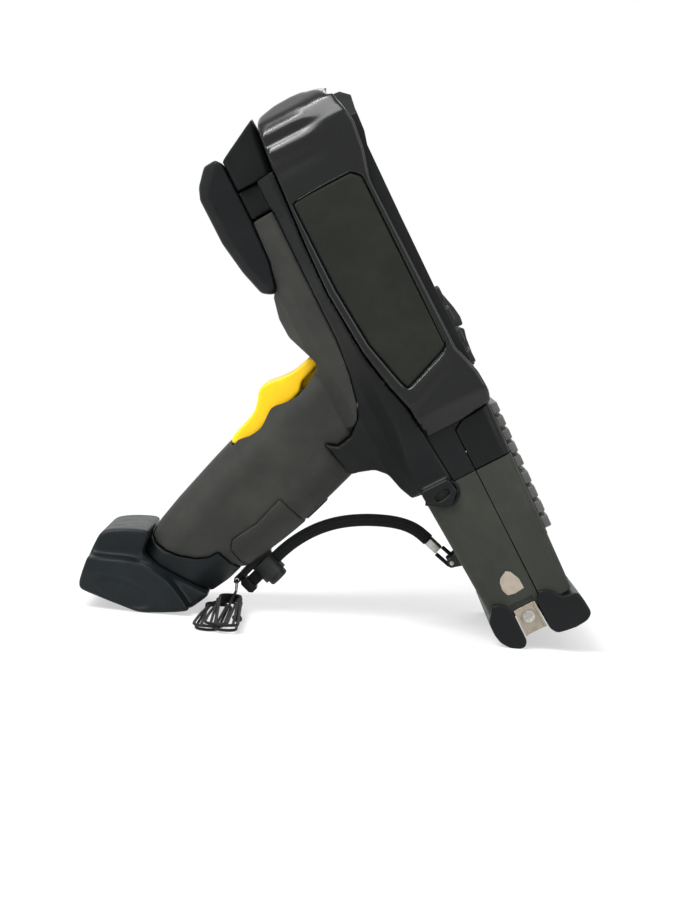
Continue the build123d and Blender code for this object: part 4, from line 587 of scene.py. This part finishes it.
# %% [markdown]
# ## Rubber and soft-edged mouldings
# Overmoulded rubber has no sharp edge anywhere: every corner is a generous radius that fades into the
# next face.  Each of these pieces starts as a merged copy of its CAD solid.  A voxel remesh makes an
# even skin, smoothing passes melt the edges, and small pushes along the normals add the ribs and
# hollows that a mould maker would cut by hand.

# %% Helpers for melted copies
JOIN_WITHIN = 0.004


def melted(node_name, voxel_mm, passes, name, material, body, slot):
    """A smooth-skinned copy of a CAD solid, riding the same body and standing for that node."""
    source = bmesh.new()
    source.from_mesh(nodes[node_name].data)
    bmesh.ops.transform(source, matrix=nodes[node_name].matrix_world, verts=source.verts)
    bmesh.ops.remove_doubles(source, verts=source.verts, dist=JOIN_WITHIN * MM)
    mesh = bpy.data.meshes.new(name)
    source.to_mesh(mesh)
    source.free()
    piece = bpy.data.objects.new(name, mesh)
    bpy.context.scene.collection.objects.link(piece)
    skin = piece.modifiers.new("skin", "REMESH")
    skin.mode = "VOXEL"
    skin.voxel_size = voxel_mm * MM
    melt = piece.modifiers.new("melt", "SMOOTH")
    melt.iterations = passes
    bpy.context.view_layer.update()
    solid = piece.evaluated_get(bpy.context.evaluated_depsgraph_get())
    piece.data = bpy.data.meshes.new_from_object(solid)
    piece.modifiers.clear()
    piece.data.name = name
    for face in piece.data.polygons:
        face.use_smooth = True
    piece.data.materials.clear()
    piece.data.materials.append(material)
    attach(piece, body)
    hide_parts(node_name)
    print(name, len(piece.data.polygons), "faces")
    return piece


def push(piece, place, amount):
    """Moves each vertex along its normal by amount(a, b, y, normal) millimetres at its own place."""
    moves = [amount(*place(v.co), v.normal) for v in piece.data.vertices]
    normals = [v.normal.copy() for v in piece.data.vertices]
    for vertex, normal, move in zip(piece.data.vertices, normals, moves):
        vertex.co += normal * move * MM
    piece.data.update()


def soften(piece, place, chosen, passes):
    """Extra smoothing of the vertices for which chosen(a, b, y) is true."""
    skin = bmesh.new()
    skin.from_mesh(piece.data)
    picked = [v for v in skin.verts if chosen(*place(v.co))]
    for _ in range(passes):
        bmesh.ops.smooth_vert(skin, verts=picked, factor=0.5, use_axis_x=True, use_axis_y=True,
                              use_axis_z=True)
    skin.to_mesh(piece.data)
    skin.free()


# %% The display boot, with its ribs
def bump_at(value, middle, half_width):
    """A smooth hump: 1 at the middle, close to 0 beyond twice the half width."""
    return math.exp(-((value - middle) / half_width) ** 2)


# Each rib and hollow: its middle along S, its half width, and its height or depth.
HEAD_RIBS = [(213.0, 2.6, 0.75), (204.6, 2.8, 0.85)]
HEAD_HOLLOWS = [(208.9, 1.9, 0.75), (198.8, 3.0, 0.9)]
LOW_RIB = (99.6, 2.3, 0.8)
LOW_HOLLOW = (94.6, 2.0, 0.5)
LOW_SLANT, LOW_SLANT_FROM = 0.42, -7.3
END_SUNK = 0.18


def boot_relief(s, t, y, normal):
    """Ribs across both sides at the scanner end, one more at the keypad end, and a lower end face."""
    side = smoothstep(0.25, 0.8, abs(normal.y))
    end_face = smoothstep(0.25, 0.8, normal.dot(S_DIR))
    fade = 1.0 - smoothstep(0.0, 15.0, t)
    head = sum(height * bump_at(s, middle, half) for middle, half, height in HEAD_RIBS)
    head -= sum(depth * bump_at(s, middle, half) for middle, half, depth in HEAD_HOLLOWS)
    slanted = s - LOW_SLANT * (t - LOW_SLANT_FROM)
    low_fade = smoothstep(-10.0, -6.0, t) * (1.0 - smoothstep(10.0, 15.0, t))
    low = LOW_RIB[2] * bump_at(slanted, *LOW_RIB[:2]) - LOW_HOLLOW[2] * bump_at(slanted, *LOW_HOLLOW[:2])
    return side * (head * fade + low * low_fade) - END_SUNK * end_face


def round_corner(piece):
    """Draws the corner between the end face and the display side in towards a round."""
    for vertex in piece.data.vertices:
        s, t, _ = terminal_place(vertex.co)
        out = math.hypot(s - CORNER_S, t - CORNER_T)
        if s > CORNER_S and t > CORNER_T and out > CORNER_ROUND:
            shrink = (1 - CORNER_SHARE) * (out - CORNER_ROUND) / out
            vertex.co -= (S_DIR * (s - CORNER_S) + T_DIR * (t - CORNER_T)) * shrink * MM


# The corner's round is struck from CORNER_S and CORNER_T; what lies outside it keeps a share of its
# distance.
CORNER_S, CORNER_T = 212.0, 10.0
CORNER_ROUND = 9.0
CORNER_SHARE = 0.6
LIP_LOW = 6.0
END_FACE_S = 216.0
head_boot = melted("display_boot", 0.6, 14, "head_boot_rubber", BLACK_RUBBER, "terminal", "black_rubber")
push(head_boot, terminal_place, boot_relief)
soften(head_boot, terminal_place, lambda s, t, y: True, 2)
soften(head_boot, terminal_place, lambda s, t, y: s > CORNER_S and t > LIP_LOW, 40)
soften(head_boot, terminal_place, lambda s, t, y: s > END_FACE_S, 20)
round_corner(head_boot)
soften(head_boot, terminal_place, lambda s, t, y: s > CORNER_S - 1.0 and t > CORNER_T - 2.0, 12)

# %% The boots round the keypad end, and the nose guard
# One line a piece: CAD node, voxel in millimetres, smoothing passes and the piece's name.
for node_name, voxel, passes, name in (("end_boot_front", 0.6, 16, "keypad_end_boot_front"),
                                       ("end_boot_rear", 0.6, 16, "keypad_end_boot_rear"),
                                       ("nose_guard", 0.7, 16, "nose_guard_rubber")):
    melted(node_name, voxel, passes, name, GUARD_RUBBER, "terminal", "black_rubber")

# %% The foot, with its shallow oval finger recess
OVAL_G, OVAL_H = -10.5, -4.0
OVAL_LONG, OVAL_WIDE = 11.5, 4.6
OVAL_TURN = math.radians(68.0)


def foot_relief(g, h, y, normal):
    """An oval hollow on each side, with a soft raised lip along its lower edge."""
    along = (g - OVAL_G) * math.cos(OVAL_TURN) + (h - OVAL_H) * math.sin(OVAL_TURN)
    across = (h - OVAL_H) * math.cos(OVAL_TURN) - (g - OVAL_G) * math.sin(OVAL_TURN)
    reach = math.hypot(along / OVAL_LONG, across / OVAL_WIDE)
    side = smoothstep(0.6, 0.9, abs(normal.y))
    return side * (0.35 * bump_at(reach, 1.12, 0.16) - 0.55 * (1.0 - smoothstep(0.8, 1.05, reach)))


foot = melted("battery_foot", 0.6, 44, "battery_foot_moulding", TEAL_FOOT, "battery", "teal_foot")
push(foot, grip_place, foot_relief)

# %% The grip, its palm panel, the trigger and the other soft-edged parts
# One line a piece: CAD node, voxel in millimetres, smoothing passes, name, material, body and slot.
soft_parts = [
    ("grip_shell_left", 0.55, 8, "grip_left_moulding", GREY_GRIP, "terminal", "grey_grip"),
    ("grip_shell_right", 0.55, 8, "grip_right_moulding", GREY_GRIP, "terminal", "grey_grip"),
    ("palm_pad", 0.5, 6, "palm_pad_moulding", GREY_GRIP, "terminal", "grey_grip"),
    ("trigger", 0.4, 34, "trigger_lever", YELLOW, "trigger_body", "yellow_trigger"),
    ("side_panels", 0.5, 7, "side_panel_inserts", OLIVE_PANEL, "terminal", "olive_panel"),
    ("rear_housing", 0.7, 6, "rear_housing_moulding", BLACK_SHELL, "terminal", "black_shell"),
    ("nose_frame", 0.45, 4, "nose_frame_moulding", BLACK_SHELL, "terminal", "black_shell"),
    ("battery_collar", 0.5, 12, "battery_collar_moulding", TEAL_FOOT, "battery", "teal_foot"),
    ("latch_plates", 0.25, 14, "latch_plate_blanks", PLATE, "terminal", "plate_metal"),
]
for soft_part in soft_parts:
    melted(*soft_part)

# %% [markdown]
# ## Beads, gaskets and lug rims
# A few rims are too fine for the remesh: the raised bead round the side panel, the gasket that closes
# each long seam, and the rim of the strap lug.  Each is a round line that follows its edge, and each
# is made on both sides of the terminal.

# %% The three kinds of rim
def rim_pair(name, line, y, thickness, steps, material, capped=False):
    """A round rim along points (s, t) on the left and the right side, y millimetres from the middle."""
    for side, label in ((-1, "left"), (1, "right")):
        rim = cord_curve(name + "_" + label, [on_terminal(s, t, side * y) for s, t in line])
        rim.data.bevel_depth = thickness / 2
        rim.data.bevel_resolution = steps
        rim.data.use_fill_caps = capped
        rim.data.materials.append(material)
        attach(rim, "terminal")
    print(name, "on both sides")


BEAD, BEAD_Y = 0.56, 44.8
bead_lines = {
    "top": [(186.2, -11.0), (186.7, -4.0), (187.0, 4.0), (186.9, 11.0)],
    "face": [(182.0, 15.2), (160.0, 15.0), (136.0, 14.7), (114.5, 14.3)],
    "low": [(111.2, 12.0), (109.0, 6.6), (106.8, 1.0), (104.8, -5.0)],
}
for place, line in bead_lines.items():
    rim_pair("boot_bead_" + place, line, BEAD_Y, BEAD, 2, BLACK_RUBBER, capped=True)

GASKET, GASKET_Y = 1.4, 36.6
gasket_lines = {
    "rear": [(216.0, -11.6), (202.0, -13.4), (168.0, -15.8), (150.0, -16.4), (123.0, -14.6), (108.0, -11.7),
             (95.0, -8.8), (65.4, -6.0)],
    "front": [(87.0, 3.4), (79.0, 1.5), (71.5, 1.7), (61.1, 2.9), (50.3, 3.2), (34.6, 3.4), (13.7, 3.9)],
}
for place, line in gasket_lines.items():
    rim_pair("seam_gasket_" + place, line, GASKET_Y, GASKET, 1, GUARD_RUBBER)

LUG_RIM, LUG_Y = 1.6, 38.2
LUG_LINE = [(65.3, -19.2), (66.0, -13.0), (66.2, -8.4), (64.6, -6.2), (61.4, -6.0), (58.0, -8.8),
            (57.8, -12.4), (62.4, -19.7)]
rim_pair("strap_lug_rim", LUG_LINE, LUG_Y, LUG_RIM, 3, BLACK_SHELL)

# %% [markdown]
# ## The hard shells
# The CAD model's shells have the right shape already.  Their meshes are loose triangles, so a Weld
# joins them, a small Bevel gives each edge the radius that a mould leaves, and an Edge Split keeps
# the corners above thirty degrees crisp.

# %% Dress the CAD nodes
WELD_WITHIN = 0.002


def dress(names, material, radius):
    """Gives CAD nodes a material and an edge radius in millimetres; a radius of 0 leaves edges alone."""
    for name in names:
        piece = nodes[name]
        piece.data.materials.clear()
        piece.data.materials.append(material)
        for face in piece.data.polygons:
            face.use_smooth = True
        weld = piece.modifiers.new("join", "WELD")
        weld.merge_threshold = WELD_WITHIN * MM
        if radius:
            round_off = piece.modifiers.new("edges", "BEVEL")
            round_off.width = radius * MM
            round_off.segments = 3
            round_off.limit_method = "ANGLE"
            round_off.angle_limit = math.radians(28)
        split = piece.modifiers.new("crisp", "EDGE_SPLIT")
        split.split_angle = math.radians(30)


KEY_ROWS = ["key_row_" + str(number) for number in range(1, 10)]
dress(["rear_cover", "keypad_cover"], GREY_SHELL, 0.4)
dress(["keypad_cover_top", "keypad_frame", "display_bezel", "battery_release",
       "lanyard_lug"], BLACK_SHELL, 0.5)
dress(["main_housing"], BLACK_SHELL, 0.0)
dress(["battery_stick", "trigger_switch", "interface_connector"], BLACK_SHELL, 0.2)
dress(KEY_ROWS, KEY_GREY, 0.0)
dress(["nav_key", "scan_key", "side_keys", "power_key", "cord_lock", "lock_plunger"], KEY_BLACK, 0.2)
dress(["key_mats"], SILICONE, 0.0)
dress(["main_board"], BOARD, 0.0)
dress(["touch_panel"], TOUCH_GLASS, 0.1)
dress(["exit_window"], SCAN_GLASS, 0.1)
dress(["display_module", "speaker", "scan_engine"], BLACK_SHELL, 0.1)
dress(["dock_brackets"], BRACKET, 0.15)
dress(["bracket_screws", "housing_screws", "handle_screws", "trigger_pin", "trigger_spring", "strap_bar",
       "tether_ring", "strap_crimp"], STEEL, 0.1)
dress(["battery_contacts"], GOLD, 0.0)
dress(["strap_loop"], BRAID, 0.0)

# %% [markdown]
# ## Last step
# The view layer is updated once more.

# %% Finish
bpy.context.view_layer.update()
